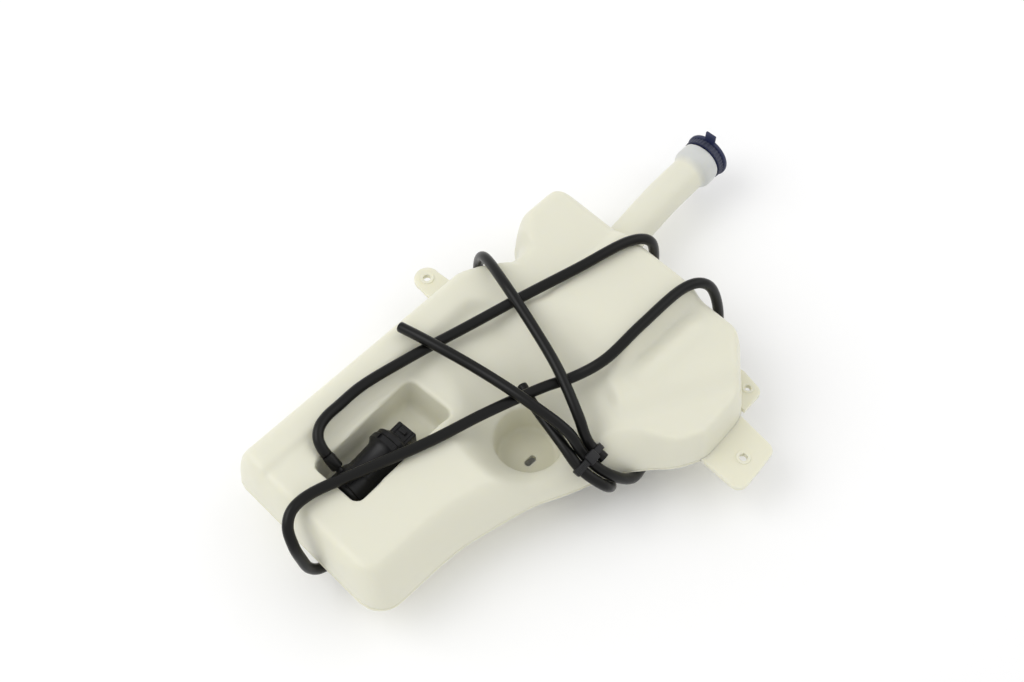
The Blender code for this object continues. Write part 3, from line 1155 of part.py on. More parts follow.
def build_stator(part, cutters, finishes, pump):
    """What stands still round the rotor: can, magnets, bushes, brush holder, brushes and terminals."""
    low = BULKHEAD_Z + BULKHEAD_THICKNESS + CLEARANCE
    inner = MOTOR_CAN_RADIUS - CAN_WALL
    bush = BUSH_RADIUS
    seat, shaft_way = bush + CLEARANCE, SHAFT_RADIUS + SHAFT_GAP
    profile = [(inner, CAN_TOP_Z), (MOTOR_CAN_RADIUS, CAN_TOP_Z), (MOTOR_CAN_RADIUS, low + CAN_EDGE),
               (MOTOR_CAN_RADIUS - CAN_EDGE, low), (seat, low), (seat, low + CAN_WALL),
               (inner, low + CAN_WALL)]
    turned("motor_can", profile, part, pump, finishes["zinc"], sides=SHELL_SIDES, closed=True)
    profile = [(shaft_way, low + BUSH_LENGTH), (bush, low + BUSH_LENGTH), (bush, low), (shaft_way, low)]
    turned("lower_bush", profile, part, pump, finishes["brass"], sides=BUSH_SIDES, closed=True)
    for k in range(2):
        middle = math.degrees(math.pi * k)
        spread = math.degrees(MAGNET_ARC) / 2
        outer_radius = inner - CLEARANCE
        outline = (arc((0, 0), outer_radius, middle - spread, middle + spread, 12)
                   + arc((0, 0), outer_radius - MAGNET_THICKNESS, middle + spread, middle - spread, 12))
        flat_shape(f"magnet_{k + 1}", outline, ARMATURE_Z - MAGNET_OVERHANG,
                   ARMATURE_Z + ARMATURE_LENGTH + MAGNET_OVERHANG, part, pump, finishes["ferrite"])

    holder_low = CAN_TOP_Z + CLEARANCE
    holder_high = holder_low + HOLDER_THICKNESS
    rim = MOTOR_CAN_RADIUS - HOLDER_STEP
    profile = [(seat, holder_high), (rim, holder_high), (rim, holder_low), (seat, holder_low)]
    holder = turned("brush_holder", profile, part, pump, finishes["white"], sides=SHELL_SIDES, closed=True)
    profile = [(shaft_way, holder_high), (bush, holder_high), (bush, holder_low), (shaft_way, holder_low)]
    turned("upper_bush", profile, part, pump, finishes["brass"], sides=BUSH_SIDES, closed=True)
    track = COMMUTATOR_LENGTH - EDGE_BREAK
    mid = ARMATURE_Z + ARMATURE_LENGTH + WINDING_END + COMMUTATOR_GAP + EDGE_BREAK + track / 2
    way_w, way_h = BRUSH_WIDTH / 2 + CLEARANCE, BRUSH_HEIGHT / 2 + CLEARANCE
    slot_w, slot_t = TERMINAL_WIDTH / 2 + CLEARANCE, TERMINAL_THICKNESS / 2 + CLEARANCE
    for side, word in ((-1, "left"), (1, "right")):
        near = COMMUTATOR_RADIUS + CLEARANCE
        far = TERMINAL_Y - TERMINAL_THICKNESS / 2 - CLEARANCE
        low_y, high_y = sorted((side * near, side * far))
        guide_low, guide_high = sorted((side * (near + GUIDE_STEP), side * far))
        way_low, way_high = sorted((side * BRUSH_WAY_START, side * BRUSH_WAY_END))
        terminal_y = side * TERMINAL_Y
        guide = box(f"brush_guide_{word}", (-GUIDE_WIDTH / 2, guide_low, mid - GUIDE_DROP),
                    (GUIDE_WIDTH / 2, guide_high, holder_low + GUIDE_BITE), cutters, pump)
        boolean(holder, guide, "UNION")
        boolean(holder, box(f"brush_way_{word}", (-way_w, way_low, mid - way_h),
                            (way_w, way_high, mid + way_h), cutters, pump))
        boolean(holder, box(f"terminal_way_{word}", (-slot_w, terminal_y - slot_t, mid - TERMINAL_WAY_DROP),
                            (slot_w, terminal_y + slot_t, holder_high + CUT_PAST), cutters, pump))
        box(f"brush_{word}", (-BRUSH_WIDTH / 2, low_y, mid - BRUSH_HEIGHT / 2),
            (BRUSH_WIDTH / 2, high_y, mid + BRUSH_HEIGHT / 2), part, pump, finishes["carbon"])
        box(f"terminal_{word}",
            (-TERMINAL_WIDTH / 2, terminal_y - TERMINAL_THICKNESS / 2, mid - TERMINAL_DROP),
            (TERMINAL_WIDTH / 2, terminal_y + TERMINAL_THICKNESS / 2, TERMINAL_TOP_Z), part, pump,
            finishes["brass"])


def smooth_route(points, pieces=8):
    """A smooth curve through the points, with each span in so many pieces (centripetal Catmull-Rom)."""
    p = np.array(points)
    p = np.vstack([2 * p[0] - p[1], p, 2 * p[-1] - p[-2]])
    knots = np.concatenate([[0.0], np.cumsum(np.sqrt(np.linalg.norm(np.diff(p, axis=0), axis=1)))])
    curve = []
    for k in range(len(points) - 1):
        t0, t1, t2, t3 = knots[k:k + 4]
        p0, p1, p2, p3 = p[k:k + 4]
        for t in np.linspace(t1, t2, pieces, endpoint=False):
            a1 = ((t1 - t) * p0 + (t - t0) * p1) / (t1 - t0)
            a2 = ((t2 - t) * p1 + (t - t1) * p2) / (t2 - t1)
            a3 = ((t3 - t) * p2 + (t - t2) * p3) / (t3 - t2)
            b1 = ((t2 - t) * a1 + (t - t0) * a2) / (t2 - t0)
            b2 = ((t3 - t) * a2 + (t - t1) * a3) / (t3 - t1)
            curve.append(((t2 - t) * b1 + (t - t1) * b2) / (t2 - t1))
    return [Vector(point) for point in curve] + [Vector(points[-1])]


def thin_out(curve, turn, step):
    """Keep a point wherever the curve has turned, or run on, by so much since the last one."""
    kept = [curve[0]]
    turned_by = run = 0.0
    for before, here, after in zip(curve, curve[1:], curve[2:]):
        turned_by += (here - before).angle(after - here)
        run += (here - before).length
        if turned_by > turn or run > step:
            kept.append(here)
            turned_by = run = 0.0
    return kept + [curve[-1]]


def build_hoses(part, finish):
    """The two washer hoses, wound round the tank."""
    for name, route in (("washer_hose", WASHER_HOSE_ROUTE), ("second_hose", SECOND_HOSE_ROUTE)):
        path = thin_out(smooth_route(route), HOSE_TURN, HOSE_STEP)
        tube(name, path, HOSE_RADIUS, HOSE_SIDES_LEVEL, part, None, finish)


def build_tie(part, cutters, finish):
    """The cable tie: an oval band, its head and its tail."""
    frame = add_frame("tie_axis", part, TIE_CENTRE, TIE_AXIS, TIE_ACROSS)
    inner = HOSE_RADIUS + TIE_SLACK
    outer = inner + TIE_THICKNESS
    half = TIE_WIDTH / 2
    right, left = (TIE_STRAND_PITCH, 0), (-TIE_STRAND_PITCH, 0)
    band, hole = (arc(right, radius, -90, 90, 8) + arc(left, radius, 90, 270, 8) for radius in (outer, inner))
    tie = flat_shape("cable_tie", band, -half, half, part, frame, finish)
    boolean(tie, flat_shape("tie_inside", hole, -TIE_WIDTH, TIE_WIDTH, cutters, frame))
    across, height, along = TIE_HEAD
    low = outer - TIE_THICKNESS / 2
    head = box("tie_head", (-across / 2, low, -along / 2), (across / 2, low + height, along / 2), cutters,
               frame, bevel=TIE_HEAD_EDGE)
    boolean(tie, head, "UNION")
    tail = low + height / 2
    boolean(tie, box("tie_tail", (-across / 2 - TIE_TAIL_REACH, tail - TIE_THICKNESS / 2, -half),
                     (0.0, tail + TIE_THICKNESS / 2, half), cutters, frame), "UNION")


def centre_on_origin(part, cutters, soft):
    """Move everything so that the hard parts' box is centred on the origin in plan."""
    bpy.context.view_layer.update()
    graph = bpy.context.evaluated_depsgraph_get()
    low, high = Vector((1e9,) * 3), Vector((-1e9,) * 3)
    for item in part.objects:
        if item.type != "MESH" or item.name in soft:
            continue
        mesh = item.evaluated_get(graph).to_mesh()
        points = np.empty(len(mesh.vertices) * 3, dtype=np.float32)
        mesh.vertices.foreach_get("co", points)
        place = np.array(item.matrix_world)
        points = points.reshape(-1, 3) @ place[:3, :3].T + place[:3, 3]
        low = Vector(np.minimum(low, points.min(axis=0)))
        high = Vector(np.maximum(high, points.max(axis=0)))
        item.evaluated_get(graph).to_mesh_clear()
    shift = Vector((-(low.x + high.x) / 2, -(low.y + high.y) / 2, 0.0))
    for item in list(part.objects) + list(cutters.objects):
        if item.parent is None:
            item.matrix_world = Matrix.Translation(shift) @ item.matrix_world
    return shift


def main():
    part, cutters = build_collections()
    finishes = {
        "tank": material("natural_plastic", (0.86, 0.85, 0.76), 0.45),
        "cap": material("dark_blue_plastic", (0.03, 0.04, 0.12), 0.4),
        "black": material("black_plastic", (0.02, 0.02, 0.02), 0.45),
        "white": material("white_plastic", (0.8, 0.8, 0.78), 0.5),
        "rubber": material("black_rubber", (0.025, 0.025, 0.025), 0.7),
        "steel": material("steel", (0.55, 0.55, 0.56), 0.35, 1.0),
        "zinc": material("zinc_plate", (0.62, 0.62, 0.60), 0.4, 1.0),
        "copper": material("copper", (0.72, 0.35, 0.18), 0.35, 1.0),
        "brass": material("brass", (0.75, 0.58, 0.28), 0.35, 1.0),
        "ferrite": material("ferrite", (0.07, 0.07, 0.075), 0.7),
        "carbon": material("carbon", (0.05, 0.05, 0.05), 0.6),
    }
    heading = Vector((math.cos(PUMP_HEADING), math.sin(PUMP_HEADING), 0.0))
    pump = add_frame("pump_axis", part, (*PUMP_BASE_POINT, PARTING_Z + PUMP_AXIS_RISE), heading, (0, 0, 1))
    way = Vector((math.cos(MOUTH_HEADING), math.sin(MOUTH_HEADING), 0.0))
    mouth_centre = Vector((*NECK_POINTS[-1], PARTING_Z)) + way * (NECK_STRAIGHT + FLARE_LENGTH)
    mouth = add_frame("mouth_axis", part, mouth_centre, way, (0, 0, 1))
    build_tank(part, cutters, finishes["tank"], pump, mouth)
    build_cap(part, cutters, finishes, mouth)
    build_pump_shells(part, cutters, finishes, pump)
    build_pump_seals(part, finishes, pump)
    build_rotor(part, cutters, finishes, pump)
    build_stator(part, cutters, finishes, pump)
    build_hoses(part, finishes["rubber"])
    build_tie(part, cutters, finishes["black"])
    centre_on_origin(part, cutters, ("washer_hose", "second_hose"))


if __name__ == "__main__":
    main()
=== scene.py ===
"""Looks of the washer fluid reservoir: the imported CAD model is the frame, and finer pieces stand on it.

The tank is lofted from the same height rules as the CAD tank, at a finer pitch, and its joints are
rounded the way a blown part's are. The cap, the pump's shells, the hoses and the cable tie are made
finer too. The motor inside the pump stays as the CAD made it.

Positions are metres in the design frame, where the tank's bottom end is at x = 0 and its mould parts
on the plane z = PARTING_Z. Layout.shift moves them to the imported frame.
"""

from __future__ import annotations

import json
import logging
import math
from dataclasses import dataclass
from enum import Enum

import bmesh
import bpy
import numpy as np
from mathutils import Matrix, Vector

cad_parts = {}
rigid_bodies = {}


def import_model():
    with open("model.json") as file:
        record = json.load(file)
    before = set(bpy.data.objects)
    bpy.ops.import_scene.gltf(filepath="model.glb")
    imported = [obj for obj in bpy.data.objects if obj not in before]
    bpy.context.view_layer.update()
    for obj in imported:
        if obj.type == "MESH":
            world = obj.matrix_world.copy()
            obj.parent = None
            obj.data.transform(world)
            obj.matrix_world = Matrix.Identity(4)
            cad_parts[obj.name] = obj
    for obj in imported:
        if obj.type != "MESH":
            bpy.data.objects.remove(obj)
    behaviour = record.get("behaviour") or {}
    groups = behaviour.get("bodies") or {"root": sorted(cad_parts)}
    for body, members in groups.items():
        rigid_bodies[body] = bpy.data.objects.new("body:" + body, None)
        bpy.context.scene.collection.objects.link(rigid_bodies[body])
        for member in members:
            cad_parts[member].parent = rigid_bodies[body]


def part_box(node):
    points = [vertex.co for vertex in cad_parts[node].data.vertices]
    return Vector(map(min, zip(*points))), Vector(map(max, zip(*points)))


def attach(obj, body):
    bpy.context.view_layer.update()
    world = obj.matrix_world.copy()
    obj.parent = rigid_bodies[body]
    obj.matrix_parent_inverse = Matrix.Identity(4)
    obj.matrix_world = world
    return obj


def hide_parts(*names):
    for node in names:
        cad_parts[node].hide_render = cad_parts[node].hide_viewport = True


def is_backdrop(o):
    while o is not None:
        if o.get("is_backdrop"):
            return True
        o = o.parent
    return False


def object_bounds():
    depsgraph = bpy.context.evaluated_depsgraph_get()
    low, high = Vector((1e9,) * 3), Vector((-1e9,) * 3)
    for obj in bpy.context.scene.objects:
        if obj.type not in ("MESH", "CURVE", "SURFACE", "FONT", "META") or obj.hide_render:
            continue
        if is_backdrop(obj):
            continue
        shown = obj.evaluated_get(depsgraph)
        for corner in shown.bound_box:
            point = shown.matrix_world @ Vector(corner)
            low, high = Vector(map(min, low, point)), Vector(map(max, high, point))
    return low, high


LOG = logging.getLogger("reservoir")
RESERVOIR = "reservoir"
CAP = "cap"
CLEARANCE = 0.0003
PARTING_Z = 0.036

# How far a joined piece sinks in, how far a tool runs past a face, and what counts as one point
SINK = 0.001
CUT_PAST = 0.002
REACH_PAST = 0.010
WELD = 0.000004
TINY = 1e-9

# Broken edges, the steps in rounded ones, and the angle in degrees from which an edge stays crisp
EDGE_BREAK = 0.0008
ROUND_PROFILE = 0.5
RIM_STEPS = 3
EDGE_STEPS = 4
FILLET_STEPS = 5
CREASE = 35.0

Profile = list[tuple[float, float]]
Outline = list[tuple[float, float]]


class Slot(Enum):
    """The record's material slots."""

    TANK = "natural_plastic"
    CAP = "dark_blue_plastic"
    PLASTIC = "black_plastic"
    RUBBER = "black_rubber"


class Cut(Enum):
    """What a Boolean step does with its tool."""

    TAKE = "DIFFERENCE"
    ADD = "UNION"


@dataclass(frozen=True)
class TankSizes:
    """The blown tank: its outline, its heights over and under the parting plane, and its walls."""

    length: float = 0.332
    wall: float = 0.0026
    left_edge: tuple = (
        (0.0, 0.076), (0.215, 0.076), (0.232, 0.070), (0.247, 0.060), (0.257, 0.0525),
        (0.265, 0.0560), (0.277, 0.0690), (0.292, 0.0765), (0.332, 0.0765),
    )
    right_edge: tuple = (
        (0.0, -0.0755), (0.046, -0.0757), (0.070, -0.0768), (0.1025, -0.083), (0.131, -0.0905),
        (0.158, -0.1025), (0.190, -0.1155), (0.211, -0.1305), (0.2245, -0.1425), (0.240, -0.1505),
        (0.2460, -0.1530), (0.2800, -0.1512), (0.2885, -0.1485), (0.2990, -0.1408), (0.3080, -0.1323),
        (0.3165, -0.1245), (0.3260, -0.1165), (0.3320, -0.1090),
    )
    bottom_left_radius: float = 0.013
    bottom_right_radius: float = 0.020
    top_left_radius: float = 0.016
    steep_run: float = 0.014
    steep_squareness: float = 2.2
    right_run: float = 0.021
    right_corner_run: float = 0.008
    right_squareness: float = 1.5
    back_run: float = 0.027
    back_squareness: float = 1.15
    end_block_rise: float = 0.036
    end_block_length: float = 0.044
    end_block_lead: float = 0.002
    band_rise: float = 0.038
    band_edge_y: float = 0.043
    shelf_rise: float = 0.028
    middle_rise: float = 0.031
    middle_start_x: float = 0.145
    middle_blend: float = 0.010
    right_block_rise: float = 0.036
    right_block_edge_y: float = -0.008
    right_block_length: float = 0.128
    plateau_rise: float = 0.048
    plateau_ramp_x: float = 0.198
    plateau_start_x: float = 0.246
    plateau_left_y: float = 0.006
    plateau_right_y: float = -0.070
    plateau_right_out: float = 0.012
    plateau_right_in: float = 0.008
    lobe_rise: float = 0.041
    lobe_start_x: float = 0.262
    lobe_run: float = 0.027
    step_run: float = 0.014
    channel_y: float = -0.0155
    channel_half_width: float = 0.011
    channel_side: float = 0.010
    channel_depth: float = 0.014
    back_raise: float = 0.018
    back_blend: float = 0.008
    waist_start_x: float = 0.166
    waist_end_x: float = 0.266
    back_foot_right_y: float = -0.076
    seam_reach: float = 0.0004
    seam_root: float = 0.0012
    seam_thickness: float = 0.0008
    seam_core_share: float = 3.0
    lean_step: float = 0.0005
    crease: float = 40.0


@dataclass(frozen=True)
class RoofSizes:
    """The roof-shaped block at the tank's top right corner."""

    ridge_start: tuple[float, float] = (0.220, -0.091)
    ridge_end: tuple[float, float] = (0.299, -0.131)
    rise: float = 0.037
    lower_slope: float = 0.80
    cheek_slope: float = 1.6
    cheek_top: tuple[float, float] = (0.230, -0.065)
    crest_y: float = -0.088
    crest_rise: float = 0.006
    crest_width: float = 0.010
    crest_start: float = 0.004
    crest_full: float = 0.018
    crest_fade: float = 0.024
    blend: float = 0.008
    root_blend: float = 0.004


@dataclass(frozen=True)
class DimpleSizes:
    """The screw dimple with its crater, the shallow dimple behind it, and the slot between them."""

    centre: tuple[float, float] = (0.163, -0.056)
    radius: float = 0.0255
    draft: float = 0.0025
    sink: float = 0.015
    fillet: float = 0.003
    floor_thickness: float = 0.004
    back_radius: float = 0.018
    crater_rise: float = 0.012
    crater_slope: float = 0.56
    cliff_slope: float = 0.60
    crater_blend: float = 0.006
    slot_length: float = 0.010
    slot_width: float = 0.0055
    slot_offset: tuple[float, float] = (-0.002, -0.004)
    slot_reach: float = 0.005
    slot_steps: int = 12
    sides: int = 96
    pillar_sides: int = 24

    @property
    def floor_z(self) -> float:
        """Height of the screw dimple's floor."""
        return PARTING_Z - self.sink


@dataclass(frozen=True)
class NeckSizes:
    """The filler neck's path and its flared mouth."""

    radius: float = 0.0145
    wall: float = 0.0024
    points: tuple = ((0.316, 0.0125), (0.340, 0.0145), (0.358, 0.0165), (0.378, 0.0188), (0.398, 0.0206))
    heading: float = math.radians(2.4)
    straight: float = 0.031
    flare_radius: float = 0.0176
    flare_run: float = 0.0045
    flare_length: float = 0.017
    flare_lip: float = 0.0012
    mouth_bore: float = 0.0148
    pieces: int = 6
    rings: int = 30
    sides: int = 72


@dataclass(frozen=True)
class EarSizes:
    """The three flat ears on the parting plane, each with a ring round its hole."""

    thickness: float = 0.0044
    ring_rise: float = 0.0008
    ring_radius: float = 0.0056
    ring_dish: float = 0.0003
    ring_steps_in: tuple[float, float, float] = (0.0018, 0.0012, 0.0004)
    ring_foot: float = 0.0002
    hole_radius: float = 0.0030
    root: float = 0.004
    round_hole: tuple[float, float] = (0.2103, 0.0985)
    round_radius: float = 0.0100
    round_root_half: float = 0.0120
    round_turn: tuple[float, float] = (-10, 190)
    round_steps: int = 28
    tab: tuple = ((0.2415, -0.146, 0.0), (0.2405, -0.1885, 0.0085), (0.2845, -0.1845, 0.0075),
                  (0.2885, -0.146, 0.0))
    tab_hole: tuple[float, float] = (0.2634, -0.1719)
    pointed: tuple = ((0.2930, -0.1380, 0.0), (0.2930, -0.1490, 0.0), (0.3145, -0.1480, 0.006),
                      (0.3180, -0.1280, 0.003), (0.3170, -0.1160, 0.0), (0.3000, -0.1300, 0.0))
    pointed_hole: tuple[float, float] = (0.3090, -0.1385)
    pointed_share: float = 0.8
    edge_round: float = 0.0007
    sides: int = 48


@dataclass(frozen=True)
class CapSizes:
    """The push-on filler cap, along the mouth's axis."""

    plug_length: float = 0.012
    plug_wall: float = 0.0018
    plug_gap: float = 0.0016
    seal_top: float = -0.0030
    seal_width: float = 0.0020
    seal_thickness: float = 0.0015
    skirt_radius: float = 0.0172
    skirt_length: float = 0.0062
    rim_radius: float = 0.0190
    rim_thickness: float = 0.0028
    rim_round: float = 0.0009
    edge: float = 0.0004
    crown: float = 0.0015
    crown_curve: tuple = ((0.0, 1.0), (0.3, 0.93), (0.6, 0.7), (0.8, 0.35))
    skirt_inset: float = 0.0002
    ribs: int = 36
    rib_height: float = 0.0006
    rib_shares: tuple[float, float, float] = (0.35, 0.5, 0.85)
    grip_inset: float = 0.0001
    grip_margin: float = 0.0006
    grip_crease: float = 25.0
    tab_width: float = 0.0095
    tab_reach: float = 0.0075
    tab_root: float = 0.004
    tab_drop: float = 0.0006
    sides: int = 96


@dataclass(frozen=True)
class PumpSizes:
    """The washer pump's three outer mouldings; Z runs from the base face to the connector."""

    base_point: tuple[float, float] = (0.0405, 0.0036)
    heading: float = math.radians(3.4)
    axis_rise: float = 0.017
    base_radius: float = 0.0148
    housing_radius: float = 0.0134
    collar_radius: float = 0.0163
    collar_length: float = 0.0050
    collar_step: float = 0.0006
    collar_run: float = 0.004
    notches: int = 8
    notch_half: float = 0.0015
    notch_depth: float = 0.0013
    notch_length: float = 0.0045
    waist: float = 0.0190
    waist_curve: tuple = ((0.0006, 0.006), (0.0004, 0.0), (0.0012, -0.0016), (0.0003, -0.003), (0.0, -0.008))
    cover: float = 0.0030
    fillet: float = 0.0020
    pilot: float = 0.0030
    o_ring: float = 0.0014
    chamber: float = 0.0115
    bulkhead: float = 0.0142
    bulkhead_thickness: float = 0.0020
    seal_seat_radius: float = 0.0030
    seal_seat_depth: float = 0.0013
    shaft_bore: float = 0.0013
    motor_bore: float = 0.0115
    housing_top: float = 0.0480
    flange: float = 0.0042
    connector_length: float = 0.0135
    connector_width: float = 0.0165
    connector_height: float = 0.0120
    connector_wall: float = 0.0016
    connector_depth: float = 0.0095
    connector_edge: float = 0.0012
    socket_edge: float = 0.0006
    rim_step: float = 0.0010
    shoulder_radius: float = 0.0118
    shoulder_rise: float = 0.0030
    shoulder_draft: float = 0.0020
    latch_half: float = 0.0030
    latch_span: tuple[float, float] = (0.0065, 0.0035)
    latch_rise: float = 0.0018
    latch_edge: float = 0.0004
    rail_half: float = 0.0008
    rail_rise: float = 0.0009
    rail_drop: float = 0.0006
    rail_edge: float = 0.0003
    terminal_width: float = 0.0028
    terminal_thickness: float = 0.0008
    terminal_y: float = 0.0052
    mark_low: float = 0.0058
    mark_high: float = 0.0108
    mark_half: float = 0.0032
    mark_rise: float = 0.0004
    mark_edge: float = 0.0002
    nozzle_station: float = 0.0100
    nozzle_lift: float = math.radians(40)
    nozzle_radius: float = 0.0024
    nozzle_barb: float = 0.0028
    nozzle_bore: float = 0.0013
    nozzle_length: float = 0.0140
    nozzle_root: float = 0.0025
    barb_length: float = 0.0035
    barb_edge: float = 0.0005
    nozzle_sides: int = 40
    bore_sides: int = 24
    spigot_radius: float = 0.0058
    spigot_bore: float = 0.0038
    spigot_length: float = 0.0120
    grommet_flange: float = 0.0016
    grommet_hole: float = 0.0095
    grommet_reach: float = 0.004
    grommet_sides: int = 48
    pocket_clearance: float = 0.0009
    pocket_length: float = 0.088
    pocket_left_space: float = 0.0060
    pocket_height: float = 0.030
    pocket_corner: float = 0.006
    pocket_draft: float = 0.05
    pocket_far_lean: float = 4.0
    pocket_steps: int = 6
    cover_steps: int = 6
    sides: int = 96

    @property
    def pocket_floor(self) -> float:
        """Where the pocket's near end wall stands along the pump."""
        return -(self.grommet_flange + 2 * CLEARANCE)


@dataclass(frozen=True)
class HoseSizes:
    """The two washer hoses: their section, and the points their centre lines pass through."""

    radius: float = 0.0040
    bore: float = 0.0024
    bore_depth: float = 0.008
    end_round: float = 0.0004
    cuff_grow: float = 0.0005
    cuff_root: float = 0.0024
    cuff_gap: float = 0.0001
    cuff_lead: float = 0.003
    cuff_edge: float = 0.0006
    crease: float = 50.0
    sides: int = 20
    pieces: int = 8
    washer_route: tuple = (
        # off the pump's nozzle and along the left side of the front face
        (0.0492, 0.0266, 0.0719), (0.0494, 0.0312, 0.0756), (0.0520, 0.0375, 0.0785),
        (0.0580, 0.0425, 0.0795), (0.0660, 0.0450, 0.0795), (0.0800, 0.0460, 0.0785),
        (0.0995, 0.0460, 0.0785), (0.1440, 0.0385, 0.0770), (0.1880, 0.0280, 0.0770),
        # over the plateau and round the top end
        (0.2300, 0.0140, 0.0850), (0.2725, 0.0010, 0.0890), (0.3140, -0.0090, 0.0890),
        (0.3270, -0.0140, 0.0850), (0.3335, -0.0175, 0.0775), (0.3370, -0.0200, 0.0560),
        (0.3360, -0.0200, 0.0225), (0.3290, -0.0185, 0.0105), (0.3160, -0.0170, 0.0055),
        # down the channel in the back face
        (0.2705, -0.0155, 0.0050), (0.2255, -0.0155, 0.0050), (0.1800, -0.0155, 0.0050),
        (0.1350, -0.0155, 0.0050), (0.0895, -0.0155, 0.0050), (0.0440, -0.0155, 0.0050),
        # round the bottom end
        (0.0270, -0.0155, 0.0085), (0.0140, -0.0155, 0.0150), (0.0050, -0.0150, 0.0215),
        (-0.0030, -0.0145, 0.0280), (-0.0080, -0.0130, 0.0380), (-0.0095, -0.0105, 0.0510),
        (-0.0095, -0.0055, 0.0660), (-0.0050, 0.0035, 0.0760), (0.0035, 0.0090, 0.0795),
        # over the pump and across the front face
        (0.0185, 0.0100, 0.0790), (0.0615, -0.0035, 0.0770), (0.1045, -0.0185, 0.0770),
        (0.1480, -0.0305, 0.0765), (0.1905, -0.0455, 0.0770), (0.2090, -0.0545, 0.0780),
        (0.2310, -0.0630, 0.0845), (0.2680, -0.0640, 0.0890), (0.3120, -0.0650, 0.0890),
        # round the top end beside the roof-shaped block
        (0.3255, -0.0690, 0.0865), (0.3345, -0.0745, 0.0770), (0.3385, -0.0835, 0.0490),
        (0.3330, -0.0905, 0.0235), (0.3230, -0.0955, 0.0130), (0.3055, -0.1005, 0.0085),
        # under the right side and up to the tie
        (0.2610, -0.1092, 0.0128), (0.2430, -0.1134, 0.0125), (0.2245, -0.1175, 0.0155),
        (0.1970, -0.1250, 0.0345), (0.1808, -0.1158, 0.0534), (0.1759, -0.1054, 0.0615),
        (0.1753, -0.0952, 0.0658), (0.1753, -0.0821, 0.0776),
        # from the tie over the front face to the free end
        (0.1700, -0.0500, 0.0860), (0.1640, -0.0055, 0.0850), (0.1545, 0.0390, 0.0850),
        (0.1510, 0.0610, 0.0805),
    )
    second_route: tuple = (
        # from under the tie over the front face to the left side
        (0.1849, -0.1081, 0.0603), (0.1838, -0.0953, 0.0649), (0.1845, -0.0890, 0.0710),
        (0.1880, -0.0800, 0.0790), (0.2020, -0.0465, 0.0875), (0.2140, -0.0110, 0.0885),
        (0.2235, 0.0245, 0.0915), (0.2360, 0.0575, 0.0790), (0.2395, 0.0670, 0.0700),
        # round the waist and across the back face
        (0.2415, 0.0730, 0.0545), (0.2400, 0.0725, 0.0305), (0.2375, 0.0660, 0.0190),
        (0.2335, 0.0585, 0.0140), (0.2170, 0.0250, 0.0135), (0.2055, -0.0110, 0.0135),
        (0.1965, -0.0470, 0.0135), (0.1895, -0.0840, 0.0135),
        # up the right side to the tie
        (0.1861, -0.1078, 0.0252), (0.1828, -0.1174, 0.0346), (0.1784, -0.1207, 0.0429),
        (0.1732, -0.1193, 0.0515), (0.1673, -0.1077, 0.0610), (0.1666, -0.0982, 0.0644),
        # from the tie to the free end
        (0.1695, -0.0825, 0.0677), (0.1776, -0.0462, 0.0682), (0.1825, -0.0299, 0.0685),
    )


@dataclass(frozen=True)
class TieSizes:
    """The cable tie round three strands that lie side by side."""

    centre: tuple[float, float, float] = (0.1756, -0.1013, 0.0630)
    axis: tuple[float, float, float] = (0.075, -0.937, -0.342)
    across: tuple[float, float, float] = (0.9968, 0.0800, 0.0)
    pitch: float = 0.0087
    slack: float = 0.0006
    thickness: float = 0.0012
    width: float = 0.0048
    head: tuple[float, float, float] = (0.0088, 0.0044, 0.0078)
    tail_reach: float = 0.0125
    teeth: int = 9
    tooth_depth: float = 0.0003
    tooth_share: float = 0.6
    band_steps: int = 20
    edge: float = 0.0003
    head_edge: float = 0.0008


@dataclass(frozen=True)
class Shot:
    """The photograph's camera: where it aims in the design frame, and from where."""

    target: tuple[float, float, float] = (0.2171, 0.01363, 0.036)
    azimuth: float = math.radians(-45.5)
    elevation: float = math.radians(60)
    distance: float = 1.0
    focal_pixels: float = 1333.33
    picture_width: float = 1024.0
    sensor: float = 36.0


@dataclass(frozen=True)
class Panel:
    """A soft light: where it hangs from the camera's target, its side and its power in watts."""

    name: str
    offset: tuple[float, float, float]
    size: float
    power: float


@dataclass(frozen=True)
class Finish:
    """One plastic-like finish: its linear base colour and how its surface takes the light."""

    name: str
    colour: tuple[float, float, float]
    roughness: float
    subsurface: float = 0.0
    grain: float = 0.0
    specular: float = 0.5
    scatter: tuple[float, float, float] = (0.9, 0.85, 0.6)
    scatter_depth: float = 0.006
    grain_scale: float = 900.0
    grain_detail: float = 3.0
    grain_depth: float = 0.0004

    def material(self) -> bpy.types.Material:
        """The finish as a material.

        Returns:
            The material.
        """
        material = bpy.data.materials.new(self.name)
        material.use_nodes = True
        tree = material.node_tree
        shader = tree.nodes["Principled BSDF"]
        shader.inputs["Base Color"].default_value = (*self.colour, 1.0)
        shader.inputs["Roughness"].default_value = self.roughness
        shader.inputs["Specular IOR Level"].default_value = self.specular
        if self.subsurface:
            shader.inputs["Subsurface Weight"].default_value = self.subsurface
            shader.inputs["Subsurface Radius"].default_value = self.scatter
            shader.inputs["Subsurface Scale"].default_value = self.scatter_depth
        if self.grain:
            noise = tree.nodes.new("ShaderNodeTexNoise")
            noise.inputs["Scale"].default_value = self.grain_scale
            noise.inputs["Detail"].default_value = self.grain_detail
            bump = tree.nodes.new("ShaderNodeBump")
            bump.inputs["Strength"].default_value = self.grain
            bump.inputs["Distance"].default_value = self.grain_depth
            tree.links.new(noise.outputs["Fac"], bump.inputs["Height"])
            tree.links.new(bump.outputs["Normal"], shader.inputs["Normal"])
        return material


@dataclass(frozen=True)
class PlugShadeInMouth:
    """Painted shade on the flared mouth: the dark plug seen through its wall, painted as a greyer colour
    along X from where the flare begins.
    """

    start: float = -0.004
    full: float = 0.003
    colour: tuple[float, float, float] = (0.62, 0.63, 0.61)


